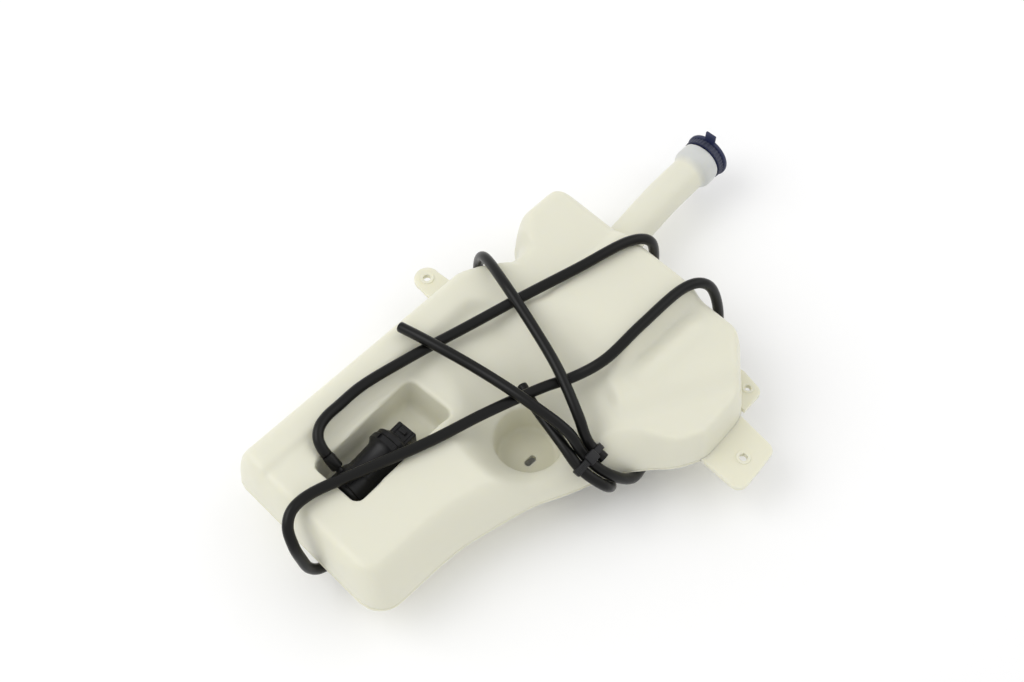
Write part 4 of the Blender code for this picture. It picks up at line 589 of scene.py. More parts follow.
NATURAL_TANK = Finish("natural_tank", (0.77, 0.755, 0.62), 0.40, subsurface=0.40, grain=0.04)
CAP_NAVY = Finish("cap_navy", (0.012, 0.018, 0.065), 0.42)
CAP_GRIP = Finish("cap_grip", (0.045, 0.050, 0.085), 0.55)
PUMP_BLACK = Finish("pump_black", (0.007, 0.007, 0.0075), 0.34, grain=0.03, specular=0.28)
HOSE_BLACK = Finish("hose_black", (0.0045, 0.0045, 0.004), 0.30, specular=0.24)
TIE_BLACK = Finish("tie_black", (0.008, 0.008, 0.009), 0.35, specular=0.35)
PAPER = Finish("paper", (0.98, 0.98, 0.98), 0.9)
KEY_PANEL = Panel("key_panel", (-0.9, 0.9, 1.5), 1.4, 12.0)
FILL_PANEL = Panel("fill_panel", (1.2, -0.6, 1.3), 1.6, 5.0)
TENT_STRENGTH = 0.78
PAPER_SIDE = 12.0
PAPER_DROP = 0.0004


@dataclass(frozen=True)
class Pitch:
    """How finely the tank is lofted, remeshed and smoothed."""

    insets: tuple = (0.0, 0.0003, 0.0009, 0.0018, 0.0030, 0.0046, 0.0066, 0.0090, 0.0118, 0.0145)
    stations: float = 0.0024
    lines: int = 52
    inner_insets: tuple = (0.0, 0.0012, 0.0036, 0.0075, 0.0145)
    inner_stations: float = 0.0050
    inner_lines: int = 36
    voxel: float = 0.0017
    smoothing: int = 4
    smoothing_share: float = 0.5
    seam_points: int = 240


def ramp(value: np.ndarray, start: float, stop: float) -> np.ndarray:
    """A soft step from 0 at start to 1 at stop: three squares less two cubes of the way along."""
    t = np.clip((value - start) / (stop - start), 0.0, 1.0)
    return t * t * (3 - 2 * t)


def soft_min(a: np.ndarray, b: np.ndarray, blend: float) -> np.ndarray:
    """The lower of two heights, with a parabola as the fillet where they come within blend."""
    overlap = np.maximum(blend - np.abs(a - b), 0.0) / blend
    return np.minimum(a, b) - overlap * overlap * blend / 4


def soft_max(a: np.ndarray, b: np.ndarray, blend: float) -> np.ndarray:
    """The higher of two heights, with a parabola as the fillet where they come within blend."""
    return -soft_min(-a, -b, blend)


def monotone(points: tuple, x: np.ndarray) -> np.ndarray:
    """A curve through points that never overshoots them.

    Args:
        points: (x, y) pairs in order.
        x: Where to read the curve.

    Returns:
        The curve's y at each x.
    """
    px = np.array([p[0] for p in points])
    py = np.array([p[1] for p in points])
    step = np.diff(px)
    slope = np.diff(py) / step
    tangent = np.zeros(len(px))
    tangent[0], tangent[-1] = slope[0], slope[-1]
    same = slope[:-1] * slope[1:] > 0
    harmonic = 2 * slope[:-1] * slope[1:] / np.where(same, slope[:-1] + slope[1:], 1.0)
    tangent[1:-1] = np.where(same, harmonic, 0.0)
    k = np.clip(np.searchsorted(px, x) - 1, 0, len(step) - 1)
    far = np.clip((x - px[k]) / step[k], 0.0, 1.0)
    near = 1 - far
    return (near * near * (1 + 2 * far) * py[k] + far * far * (3 - 2 * far) * py[k + 1]
            + step[k] * near * far * (near * tangent[k] - far * tangent[k + 1]))


def corner(distance: np.ndarray, radius: float) -> np.ndarray:
    """How far a round corner of this radius pulls an edge in, at distances from the end wall."""
    run = np.clip(radius - distance, 0.0, radius)
    return radius - np.sqrt(np.maximum(radius * radius - run * run, 0.0))


def wall_factor(distance: np.ndarray, run: float, squareness: float) -> np.ndarray:
    """From 0 on the outline to 1 at run, along a superellipse whose power is squareness."""
    t = np.clip(distance / run, 0.0, 1.0)
    return (1 - (1 - t) ** squareness) ** (1 / squareness)


def arc(centre: tuple, radius: float, start: float, stop: float, steps: int) -> Outline:
    """Points along an arc between two angles in degrees, both ends among them."""
    angles = [math.radians(start + (stop - start) * k / steps) for k in range(steps + 1)]
    return [(centre[0] + radius * math.cos(a), centre[1] + radius * math.sin(a)) for a in angles]


def rounded_outline(corners: tuple, steps: int = 10) -> Outline:
    """An outline whose corners are arcs that touch both their sides.

    Args:
        corners: (x, y, radius) of each corner in order.
        steps: Chords in each arc.

    Returns:
        The outline's points.
    """
    outline = []
    for k, (x, y, radius) in enumerate(corners):
        here = Vector((x, y))
        before = (Vector(corners[k - 1][:2]) - here).normalized()
        after = (Vector(corners[(k + 1) % len(corners)][:2]) - here).normalized()
        if radius <= 0:
            outline.append((x, y))
            continue
        half = before.angle(after) / 2
        centre = here + (before + after).normalized() * (radius / math.sin(half))
        first = here + before * (radius / math.tan(half)) - centre
        last = here + after * (radius / math.tan(half)) - centre
        turn = first.angle_signed(last)
        for i in range(steps + 1):
            spoke = first.copy()
            spoke.rotate(Matrix.Rotation(-turn * i / steps, 2))
            outline.append(tuple(centre + spoke))
    return outline


def smooth_route(points: tuple, pieces: int) -> np.ndarray:
    """A smooth curve through a route's points (centripetal Catmull-Rom).

    Args:
        points: The route's points.
        pieces: How many pieces each span is given.

    Returns:
        The curve's points, one per row.
    """
    p = np.array(points)
    p = np.vstack([2 * p[0] - p[1], p, 2 * p[-1] - p[-2]])
    knots = np.concatenate([[0.0], np.cumsum(np.sqrt(np.linalg.norm(np.diff(p, axis=0), axis=1)))])
    curve = []
    for k in range(len(points) - 1):
        t0, t1, t2, t3 = knots[k:k + 4]
        p0, p1, p2, p3 = p[k:k + 4]
        for t in np.linspace(t1, t2, pieces, endpoint=False):
            a1 = ((t1 - t) * p0 + (t - t0) * p1) / (t1 - t0)
            a2 = ((t2 - t) * p1 + (t - t1) * p2) / (t2 - t1)
            a3 = ((t3 - t) * p2 + (t - t2) * p3) / (t3 - t2)
            b1 = ((t2 - t) * a1 + (t - t0) * a2) / (t2 - t0)
            b2 = ((t3 - t) * a2 + (t - t1) * a3) / (t3 - t1)
            curve.append(((t2 - t) * b1 + (t - t1) * b2) / (t2 - t1))
    return np.vstack([curve, points[-1]])


def axis_frame(origin: Vector, z_axis: Vector, x_axis: Vector) -> Matrix:
    """The matrix of a piece's own frame.

    Args:
        origin: Where the frame stands.
        z_axis: The direction of its Z.
        x_axis: The direction of its X.

    Returns:
        The frame's matrix.
    """
    z_axis, x_axis = Vector(z_axis).normalized(), Vector(x_axis).normalized()
    turn = Matrix((x_axis, z_axis.cross(x_axis), z_axis)).transposed().to_4x4()
    return Matrix.Translation(origin) @ turn


class Solid:
    """A closed mesh being shaped by cuts and joints."""

    def __init__(self, name: str, mesh: bpy.types.Mesh) -> None:
        """Put a mesh in the scene under a name."""
        self.item = bpy.data.objects.new(name, mesh)
        bpy.context.scene.collection.objects.link(self.item)

    @classmethod
    def from_grid(cls, name: str, points: np.ndarray, faces: np.ndarray, place: Matrix) -> "Solid":
        """A solid from a closed grid, its doubled points welded and its faces turned outward.

        Args:
            name: The object's name.
            points: One point per row.
            faces: Four point numbers per row.
            place: The frame the points are in.

        Returns:
            The solid.
        """
        mesh = bpy.data.meshes.new(name)
        mesh.from_pydata(points.tolist(), [], faces.tolist())
        bm = bmesh.new()
        bm.from_mesh(mesh)
        bmesh.ops.remove_doubles(bm, verts=bm.verts, dist=WELD)
        bmesh.ops.transform(bm, matrix=place, verts=bm.verts)
        bmesh.ops.recalc_face_normals(bm, faces=bm.faces)
        bm.to_mesh(mesh)
        bm.free()
        return cls(name, mesh)

    @classmethod
    def turned(cls, name: str, profile: Profile, sides: int, place: Matrix, closed: bool = False) -> "Solid":
        """A profile turned about Z.

        Args:
            name: The object's name.
            profile: (radius, height) points; both ends are on the axis unless it is closed.
            sides: Steps round the axis.
            place: The frame of the axis.
            closed: Whether the last point joins the first.

        Returns:
            The solid.
        """
        line = np.array(profile + profile[:1] if closed else profile)
        angle = np.linspace(0.0, 2 * math.pi, sides, endpoint=False)
        points = np.stack([np.outer(np.cos(angle), line[:, 0]), np.outer(np.sin(angle), line[:, 0]),
                           np.tile(line[:, 1], (sides, 1))], axis=-1)
        return cls.from_grid(name, points.reshape(-1, 3), wrapped_faces(sides, len(line)), place)

    @classmethod
    def rod(cls, name: str, radius: float, low: float, high: float, sides: int, place: Matrix) -> "Solid":
        """A plain cylinder about the place's Z, between two heights."""
        profile = [(0.0, high), (radius, high), (radius, low), (0.0, low)]
        return cls.turned(name, profile, sides, place)

    @classmethod
    def plate(cls, name: str, outline: Outline, low: float, high: float, place: Matrix,
              edge_round: float = 0.0) -> "Solid":
        """A closed outline in XY given a thickness along Z.

        Args:
            name: The object's name.
            outline: Its points in order.
            low: Height of its lower face.
            high: Height of its upper face.
            place: The frame it is in.
            edge_round: Radius of its rounded rims.

        Returns:
            The solid.
        """
        bm = bmesh.new()
        bottom = [bm.verts.new((x, y, low)) for x, y in outline]
        base = bm.faces.new(bottom)
        grown = bmesh.ops.extrude_face_region(bm, geom=[base])["geom"]
        for vert in grown:
            if isinstance(vert, bmesh.types.BMVert):
                vert.co.z = high
        if edge_round:
            rims = [e for e in bm.edges if abs(e.verts[0].co.z - e.verts[1].co.z) < CLEARANCE / 2]
            bmesh.ops.bevel(bm, geom=rims, offset=edge_round, segments=RIM_STEPS, profile=ROUND_PROFILE,
                            affect="EDGES")
        return cls.from_bmesh(name, bm, place)

    @classmethod
    def box(cls, name: str, low: tuple, high: tuple, place: Matrix, bevel: float = 0.0) -> "Solid":
        """A box between two corners, with round edges.

        Args:
            name: The object's name.
            low: Lowest corner.
            high: Highest corner.
            place: The frame it is in.
            bevel: Radius of its edges.

        Returns:
            The solid.
        """
        bm = bmesh.new()
        bmesh.ops.create_cube(bm, size=1.0)
        low, high = Vector(low), Vector(high)
        size, middle = high - low, (high + low) / 2
        for vert in bm.verts:
            vert.co = Vector((vert.co.x * size.x, vert.co.y * size.y, vert.co.z * size.z)) + middle
        if bevel:
            bmesh.ops.bevel(bm, geom=bm.edges[:], offset=bevel, segments=EDGE_STEPS, profile=ROUND_PROFILE,
                            affect="EDGES")
        return cls.from_bmesh(name, bm, place)

    @classmethod
    def from_bmesh(cls, name: str, bm: bmesh.types.BMesh, place: Matrix) -> "Solid":
        """A solid from a bmesh, which is freed.

        Args:
            name: The object's name.
            bm: The closed mesh.
            place: The frame it is in.

        Returns:
            The solid.
        """
        bmesh.ops.transform(bm, matrix=place, verts=bm.verts)
        bmesh.ops.recalc_face_normals(bm, faces=bm.faces)
        mesh = bpy.data.meshes.new(name)
        bm.to_mesh(mesh)
        bm.free()
        return cls(name, mesh)

    @classmethod
    def swept(cls, name: str, path: np.ndarray, profile: Profile, sides: int) -> "Solid":
        """A round section carried along a path.

        Args:
            name: The object's name.
            path: The centre line's points.
            profile: (distance along the path, radius) of each ring in order.
            sides: Points in a ring.

        Returns:
            The solid.
        """
        run = np.concatenate([[0.0], np.cumsum(np.linalg.norm(np.diff(path, axis=0), axis=1))])
        ahead = np.gradient(path, axis=0)
        ahead /= np.linalg.norm(ahead, axis=1)[:, None]
        side = np.zeros_like(path)
        side[0] = Vector(ahead[0]).orthogonal().normalized()
        for k in range(1, len(path)):
            flat = side[k - 1] - ahead[k] * np.dot(side[k - 1], ahead[k])
            side[k] = flat / np.linalg.norm(flat)
        up = np.cross(ahead, side)
        at = np.array([p[0] for p in profile])
        centre, x_way, y_way = (np.stack([np.interp(at, run, v[:, i]) for i in range(3)], axis=1)
                                for v in (path, side, up))
        angle = np.linspace(0.0, 2 * math.pi, sides, endpoint=False)
        radius = np.array([p[1] for p in profile])[None, :, None]
        points = centre[None] + radius * (np.cos(angle)[:, None, None] * x_way[None]
                                          + np.sin(angle)[:, None, None] * y_way[None])
        return cls.from_grid(name, points.reshape(-1, 3), wrapped_faces(sides, len(profile)), Matrix())

    def combine(self, tool: "Solid", how: Cut) -> "Solid":
        """Cut another solid out of this one, or join it on, and use the tool up.

        Args:
            tool: The other solid.
            how: Whether it is taken away or added.

        Returns:
            This solid.
        """
        step = self.item.modifiers.new(tool.item.name, "BOOLEAN")
        step.operation = how.value
        step.solver = "EXACT"
        step.object = tool.item
        self.settle()
        bpy.data.objects.remove(tool.item)
        return self

    def settle(self) -> None:
        """Make what the modifiers give this solid's own mesh."""
        graph = bpy.context.evaluated_depsgraph_get()
        mesh = bpy.data.meshes.new_from_object(self.item.evaluated_get(graph))
        self.item.modifiers.clear()
        self.item.data = mesh

    def soften(self, pitch: Pitch) -> None:
        """Rebuild the surface in even faces and round its inner and outer corners.

        Args:
            pitch: Size of a face, and how often and how far each point moves to its neighbours' middle.
        """
        remesh = self.item.modifiers.new("remesh", "REMESH")
        remesh.mode = "VOXEL"
        remesh.voxel_size = pitch.voxel
        smooth = self.item.modifiers.new("smooth", "SMOOTH")
        smooth.factor = pitch.smoothing_share
        smooth.iterations = pitch.smoothing
        self.settle()

    def finish(self, material: bpy.types.Material, slot: Slot, body: str, angle: float = CREASE,
               nodes: tuple[str, ...] = ()) -> bpy.types.Object:
        """Give the piece its material and its place on the frame.

        Args:
            material: What it is made of.
            slot: The record's slot for that; not used.
            body: The CAD body it moves with.
            angle: Edges sharper than this stay crisp, in degrees.
            nodes: CAD nodes it stands for.

        Returns:
            The finished object.
        """
        data = self.item.data
        data.materials.clear()
        data.materials.append(material)
        data.shade_smooth()
        data.set_sharp_from_angle(angle=math.radians(angle))
        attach(self.item, body)
        if nodes:
            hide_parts(*nodes)
        LOG.info("%s has %d faces", self.item.name, len(data.polygons))
        return self.item


def wrapped_faces(rings: int, columns: int) -> np.ndarray:
    """Faces of a grid whose last row joins its first.

    Args:
        rings: Rows of points, which close on themselves.
        columns: Points in a row.

    Returns:
        Four point numbers per face.
    """
    row, column = np.meshgrid(np.arange(rings), np.arange(columns - 1), indexing="ij")
    after = (row + 1) % rings
    return np.stack([row * columns + column, after * columns + column,
                     after * columns + column + 1, row * columns + column + 1], axis=-1).reshape(-1, 4)


class Layout:
    """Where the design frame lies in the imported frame, and the frames of the neck, pump and tie."""

    def __init__(self, ears: EarSizes, neck: NeckSizes, pump: PumpSizes, tie: TieSizes) -> None:
        """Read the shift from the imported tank, whose lowest x is the design's 0.

        Args:
            ears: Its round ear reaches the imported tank's highest y.
            neck: Gives the mouth's frame.
            pump: Gives the pump's frame.
            tie: Gives the tie's frame.
        """
        low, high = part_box("tank")
        reach = ears.round_hole[1] + ears.round_radius
        self.shift = Vector((low[0], high[1] - reach, 0.0))
        self.base = Matrix.Translation(self.shift)
        way = Vector((math.cos(neck.heading), math.sin(neck.heading), 0.0))
        mouth = Vector((*neck.points[-1], PARTING_Z)) + way * (neck.straight + neck.flare_length)
        up = Vector((0, 0, 1))
        self.mouth = self.base @ axis_frame(mouth, way, up)
        heading = Vector((math.cos(pump.heading), math.sin(pump.heading), 0.0))
        foot = Vector((*pump.base_point, PARTING_Z + pump.axis_rise))
        self.pump = self.base @ axis_frame(foot, heading, up)
        outward = Vector((math.sin(pump.nozzle_lift), -math.cos(pump.nozzle_lift), 0.0))
        self.nozzle = self.pump @ axis_frame(Vector((0, 0, pump.nozzle_station)), outward, up)
        self.tie = self.base @ axis_frame(Vector(tie.centre), Vector(tie.axis), Vector(tie.across))


class Palette:
    """The materials of the pieces made here."""

    def __init__(self, mouth_x: float) -> None:
        """Make every material once.

        Args:
            mouth_x: Where the flared mouth begins along X.
        """
        self.tank = NATURAL_TANK.material()
        # The tank's material gets a painted shade on the flared mouth, where the dark plug shows through its
        # wall.
        self.paint_plug_shade(self.tank, mouth_x, PlugShadeInMouth())
        self.cap, self.grip = CAP_NAVY.material(), CAP_GRIP.material()
        self.plastic, self.rubber = PUMP_BLACK.material(), HOSE_BLACK.material()
        self.tie, self.floor = TIE_BLACK.material(), PAPER.material()

    @staticmethod
    def paint_plug_shade(material: bpy.types.Material, mouth_x: float, plug_shade: PlugShadeInMouth) -> None:
        """Paint shade onto the flared mouth, cooler and greyer, where the dark plug shows through its wall.

        Args:
            material: The tank's material.
            mouth_x: Where the flare begins along X.
            plug_shade: The colour there and where it fades in.
        """
        tree = material.node_tree
        shader = tree.nodes["Principled BSDF"]
        place = tree.nodes.new("ShaderNodeTexCoord")
        axes = tree.nodes.new("ShaderNodeSeparateXYZ")
        fade = tree.nodes.new("ShaderNodeMapRange")
        fade.inputs["From Min"].default_value = mouth_x + plug_shade.start
        fade.inputs["From Max"].default_value = mouth_x + plug_shade.full
        # Blend the tank's colour towards the painted shade's grey.
        mix = tree.nodes.new("ShaderNodeMix")
        mix.data_type = "RGBA"
        mix.inputs["A"].default_value = shader.inputs["Base Color"].default_value[:]
        mix.inputs["B"].default_value = (*plug_shade.colour, 1.0)
        tree.links.new(place.outputs["Object"], axes.inputs["Vector"])
        tree.links.new(axes.outputs["X"], fade.inputs["Value"])
        tree.links.new(fade.outputs["Result"], mix.inputs["Factor"])
        tree.links.new(mix.outputs["Result"], shader.inputs["Base Color"])


@dataclass
class Tank:
    """The blow-moulded tank: the frames, its neighbours' sizes and its own."""

    layout: Layout
    pump: PumpSizes
    neck: NeckSizes
    ears: EarSizes
    pitch: Pitch = Pitch()
    size: TankSizes = TankSizes()
    roof: RoofSizes = RoofSizes()
    dimple: DimpleSizes = DimpleSizes()

    def left(self, x: np.ndarray) -> np.ndarray:
        """The outline's left side (+Y): its y at each station, pulled in at both corners."""
        s = self.size
        return (monotone(s.left_edge, x) - corner(x, s.bottom_left_radius)
                - corner(s.length - x, s.top_left_radius))

    def right(self, x: np.ndarray) -> np.ndarray:
        """The outline's right side (-Y): its y at each station, pulled in at the bottom corner."""
        return monotone(self.size.right_edge, x) + corner(x, self.size.bottom_right_radius)

    def edge_distances(self, x: np.ndarray, y: np.ndarray) -> tuple:
        """Distances in from the bottom end, top end, left and right sides.

        Args:
            x: Stations.
            y: Positions across.

        Returns:
            Four arrays of distances.
        """
        step = self.size.lean_step
        left_lean = (self.left(x + step) - self.left(x - step)) / (2 * step)
        right_lean = (self.right(x + step) - self.right(x - step)) / (2 * step)
        return (x, self.size.length - x, (self.left(x) - y) / np.sqrt(1 + left_lean ** 2),
                (y - self.right(x)) / np.sqrt(1 + right_lean ** 2))

    def roof_rise(self, x: np.ndarray, y: np.ndarray) -> np.ndarray:
        """Height of the roof-shaped block: a crested top, a sloping lower face and a steep cheek.

        Args:
            x: Stations.
            y: Positions across.

        Returns:
            Its height over the parting plane.
        """
        r = self.roof
        (sx, sy), (ex, ey), (tx, ty) = r.ridge_start, r.ridge_end, r.cheek_top
        length = math.hypot(ex - sx, ey - sy)
        outward = ((x - sx) * (ey - sy) - (y - sy) * (ex - sx)) / length
        beside = -((x - sx) * (ty - sy) - (y - sy) * (tx - sx)) / math.hypot(tx - sx, ty - sy)
        along = ramp(x, tx + r.crest_start, self.size.plateau_start_x + r.crest_full)
        crest = np.exp(-((y - r.crest_y) / r.crest_width) ** 2) * along * (1 - ramp(x, ex, ex + r.crest_fade))
        top = r.rise + r.crest_rise * crest
        lower = r.rise - r.lower_slope * outward
        cheek = r.rise - r.cheek_slope * beside
        return soft_min(soft_min(top, lower, r.blend), cheek, r.blend)

    def front_rise(self, x: np.ndarray, y: np.ndarray) -> np.ndarray:
        """Height of the front face over the parting plane.

        Args:
            x: Stations.
            y: Positions across.

        Returns:
            The height.
        """
        s, d = self.size, self.dimple
        half = s.step_run / 2
        plateau = ramp(x, s.plateau_ramp_x, s.plateau_start_x)
        middle = (s.shelf_rise + (s.middle_rise - s.shelf_rise)
                  * ramp(x, s.middle_start_x - s.middle_blend, s.middle_start_x + s.middle_blend)
                  + (s.plateau_rise - s.middle_rise) * plateau
                  * ramp(y, s.plateau_right_y - s.plateau_right_out, s.plateau_right_y + s.plateau_right_in))
        lobe = ramp(x, s.lobe_start_x - s.lobe_run, s.lobe_start_x)
        side = s.band_rise + (s.lobe_rise - s.band_rise) * lobe
        border = s.band_edge_y + (s.plateau_left_y - s.band_edge_y) * plateau
        top = middle + (side - middle) * ramp(y, border - half, border + half)
        right = (1 - ramp(y, s.right_block_edge_y - half, s.right_block_edge_y + half)) * (
            1 - ramp(x, s.right_block_length - s.step_run, s.right_block_length + s.step_run))
        end = 1 - ramp(x, s.end_block_length - s.end_block_lead, s.end_block_length + s.step_run)
        block = np.maximum(right * s.right_block_rise, end * s.end_block_rise)
        weight = np.maximum(right, end)
        top = top * (1 - weight) + np.maximum(block, top * weight)

        dx, dy = x - d.centre[0], y - d.centre[1]
        reach = np.hypot(dx, dy) + TINY
        cliff = np.clip(-dx / reach, 0.0, 1.0) ** 2
        slope = d.crater_slope + d.cliff_slope * cliff
        funnel = d.crater_rise + slope * np.maximum(reach - d.radius, 0.0)
        top = soft_min(top, funnel, d.crater_blend)
        top = soft_max(top, self.roof_rise(x, y), self.roof.root_blend)

        bottom_end, top_end, left, right_side = self.edge_distances(x, y)
        ridge_x = self.roof.ridge_start[0]
        corner_share = ramp(x, ridge_x - s.step_run, ridge_x + s.step_run)
        run = s.right_run + (s.right_corner_run - s.right_run) * corner_share
        for distance in (bottom_end, top_end, left):
            top = top * wall_factor(distance, s.steep_run, s.steep_squareness)
        return top * wall_factor(right_side, run, s.right_squareness)

    def back_depth(self, x: np.ndarray, y: np.ndarray) -> np.ndarray:
        """Depth of the back face under the parting plane.

        Args:
            x: Stations.
            y: Positions across.

        Returns:
            The depth.
        """
        s = self.size
        channel_end = s.channel_half_width + s.channel_side
        channel = 1 - ramp(np.abs(y - s.channel_y), s.channel_half_width, channel_end)
        start = ramp(x, s.waist_start_x - s.back_blend, s.waist_start_x + s.back_blend)
        waist = start * (1 - ramp(x, s.waist_end_x - s.back_blend, s.waist_end_x + s.back_blend))
        foot = ramp(y, s.back_foot_right_y - s.back_blend, s.back_foot_right_y + s.back_blend)
        lower_corner = start * (1 - foot)
        raised = np.maximum(s.channel_depth * channel, s.back_raise * np.maximum(waist, lower_corner))
        bottom_end, top_end, left, right_side = self.edge_distances(x, y)
        depth = PARTING_Z - raised
        for distance in (top_end, left):
            depth = depth * wall_factor(distance, s.steep_run, s.steep_squareness)
        for distance in (bottom_end, right_side):
            depth = depth * wall_factor(distance, s.back_run, s.back_squareness)
        return depth

    def loft(self, name: str, insets: tuple, pitch: float, lines: int, wall: float) -> Solid:
        """The tank's outer form, or its inner form drawn in by the wall.

        Args:
            name: The object's name.
            insets: Distances from the edges at which lines crowd together.
            pitch: Distance between stations.
            lines: Lines across the middle.
            wall: How far the form is drawn in.

        Returns:
            The solid.
        """
        near = np.array(insets)
        length = self.size.length
        count = max(int(round((length - 2 * near[-1]) / pitch)), 2)
        x = np.concatenate([near, np.linspace(near[-1], length - near[-1], count + 1)[1:-1],
                            length - near[::-1]])
        low, high = self.right(x)[:, None], self.left(x)[:, None]
        squeeze = np.minimum(1.0, (high - low) / (4 * near[-1]))
        first, last = low + near[None, :] * squeeze, high - near[None, ::-1] * squeeze
        t = np.linspace(0.0, 1.0, lines + 2)[None, 1:-1]
        across = np.concatenate([first, first[:, -1:] * (1 - t) + last[:, :1] * t, last], axis=1)
        station = np.repeat(x[:, None], across.shape[1], axis=1)
        front = PARTING_Z + self.front_rise(station, across)
        back = PARTING_Z - self.back_depth(station, across)
        for field in (front, back):
            field[:, 0] = field[:, -1] = PARTING_Z
            field[0, :] = field[-1, :] = PARTING_Z
        ring = [np.concatenate([a, b[:, -2:0:-1]], axis=1)
                for a, b in ((station, station), (across, across), (front, back))]
        points = np.stack(ring, axis=-1)
        rows, columns = points.shape[:2]
        grid = points.transpose(1, 0, 2).reshape(-1, 3)
        solid = Solid.from_grid(name, grid, wrapped_faces(columns, rows), self.layout.base)
        if wall:
            bm = bmesh.new()
            bm.from_mesh(solid.item.data)
            bm.normal_update()
            steps = [(vert, vert.normal * (wall * vert.calc_shell_factor())) for vert in bm.verts]
            for vert, step in steps:
                vert.co -= step
            bm.to_mesh(solid.item.data)
            bm.free()
        return solid

    def pocket(self, name: str, grow: float) -> Solid:
        """The pocket that the pump lies in; grown by the wall it is the pocket's inner face.

        Args:
            name: The object's name.
            grow: How much it is grown.

        Returns:
            The tool.
        """
        p = self.pump
        reach = p.collar_radius + p.pocket_clearance + grow
        lean = p.pocket_draft * (p.pocket_height + reach)
        bm = bmesh.new()
        bmesh.ops.create_cube(bm, size=1.0)
        for vert in bm.verts:
            out = lean if vert.co.x > 0 else 0.0
            x = p.pocket_height if vert.co.x > 0 else -reach
            y = reach + out if vert.co.y > 0 else -(reach + p.pocket_left_space + out)
            far = p.pocket_length + grow + out * p.pocket_far_lean
            z = far if vert.co.z > 0 else p.pocket_floor - grow
            vert.co = Vector((x, y, z))
        deep = [edge for edge in bm.edges if any(vert.co.x < 0 for vert in edge.verts)]
        bmesh.ops.bevel(bm, geom=deep, offset=p.pocket_corner + grow, segments=p.pocket_steps,
                        profile=ROUND_PROFILE, affect="EDGES", clamp_overlap=True)
        return Solid.from_bmesh(name, bm, self.layout.pump)

    def dimple_sides(self, grow: float) -> tuple[Profile, Profile]:
        """Half sections of the screw dimple and of the shallow dimple behind it.

        Args:
            grow: How much both are grown.

        Returns:
            The front dimple's side and the back dimple's.
        """
        d = self.dimple
        radius, low = d.radius - d.draft + grow, d.floor_z - grow
        high = PARTING_Z + self.size.plateau_rise
        rim = radius + d.draft * (high - low) / (d.sink + d.crater_rise)
        fillet = arc((radius - d.fillet, low + d.fillet), d.fillet, 0, -90, FILLET_STEPS)
        front = [(0.0, high), (rim, high)] + fillet
        radius = d.back_radius + grow
        top = d.floor_z - d.floor_thickness + grow
        back = arc((radius - d.fillet, top - d.fillet), d.fillet, 90, 0, FILLET_STEPS)
        return front, back + [(radius + d.draft, -d.fillet), (0.0, -d.fillet)]

    def build_ears(self) -> list[Solid]:
        """The round ear, the square tab and the pointed ear, pierced and ringed.

        Returns:
            The three ears.
        """
        e = self.ears
        x, y = e.round_hole
        root = self.size.left_edge[0][1] - e.root
        outline = ([(x + e.round_root_half, root)] + arc((x, y), e.round_radius, *e.round_turn, e.round_steps)
                   + [(x - e.round_root_half, root)])
        kinds = (("round_ear", outline, e.round_hole, 1.0),
                 ("square_tab", rounded_outline(e.tab), e.tab_hole, 1.0),
                 ("pointed_ear", rounded_outline(e.pointed), e.pointed_hole, e.pointed_share))
        half = e.thickness / 2
        top = half + e.ring_rise
        ears = []
        for name, shape, hole, share in kinds:
            ear = Solid.plate(name, shape, PARTING_Z - half, PARTING_Z + half, self.layout.base, e.edge_round)
            place = self.layout.base @ Matrix.Translation((*hole, PARTING_Z))
            radius = e.ring_radius * share
            dish, flat_in, flat_out = (radius - step for step in e.ring_steps_in)
            ring = [(0.0, top - e.ring_dish), (dish, top - e.ring_dish), (flat_in, top), (flat_out, top),
                    (radius, half - e.ring_foot), (radius, half - SINK), (0.0, half - SINK)]
            ear.combine(Solid.turned("ring", ring, e.sides, place), Cut.ADD)
            bore = Solid.rod("hole", e.hole_radius * share, -REACH_PAST, REACH_PAST, e.sides, place)
            ear.combine(bore, Cut.TAKE)
            ears.append(ear)
        return ears

    def outline(self, grow: float) -> Outline:
        """The tank's outline on the parting plane.

        Args:
            grow: How far it is moved outward.

        Returns:
            Its points in order.
        """
        x = np.linspace(0.0, self.size.length, self.pitch.seam_points)
        right, left = np.stack([x, self.right(x)], axis=1), np.stack([x, self.left(x)], axis=1)
        line = np.concatenate([right, left[::-1]])
        along = np.roll(line, -1, axis=0) - np.roll(line, 1, axis=0)
        outward = np.stack([along[:, 1], -along[:, 0]], axis=1)
        outward /= np.linalg.norm(outward, axis=1)[:, None]
        return [tuple(point) for point in (line + grow * outward).tolist()]

    def seam(self) -> Solid:
        """The thin flash line that the mould's halves leave round the tank.

        Returns:
            The solid.
        """
        s, place = self.size, self.layout.base
        half = s.seam_thickness / 2
        tall = s.seam_core_share * half
        ring = Solid.plate("seam", self.outline(s.seam_reach), PARTING_Z - half, PARTING_Z + half, place)
        core = Solid.plate("seam_core", self.outline(-s.seam_root), PARTING_Z - tall, PARTING_Z + tall, place)
        return ring.combine(core, Cut.TAKE)

    def neck_path(self) -> np.ndarray:
        """The neck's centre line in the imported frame.

        Returns:
            Its points, one per row.
        """
        n = self.neck
        way = np.array([math.cos(n.heading), math.sin(n.heading), 0.0])
        points = [np.array([x, y, PARTING_Z]) for x, y in n.points]
        points.append(points[-1] + way * (n.straight + n.flare_length / 2))
        return smooth_route(tuple(map(tuple, points)), n.pieces) + np.array(self.layout.shift)

    def neck_tube(self, name: str, radius: float) -> Solid:
        """The neck's path given a radius.

        Args:
            name: The object's name.
            radius: The tube's radius.

        Returns:
            The solid.
        """
        n, path = self.neck, self.neck_path()
        run = float(np.linalg.norm(np.diff(path, axis=0), axis=1).sum())
        rings = [(0.0, 0.0)] + [(run * k / n.rings, radius) for k in range(n.rings + 1)] + [(run, 0.0)]
        return Solid.swept(name, path, rings, n.sides)

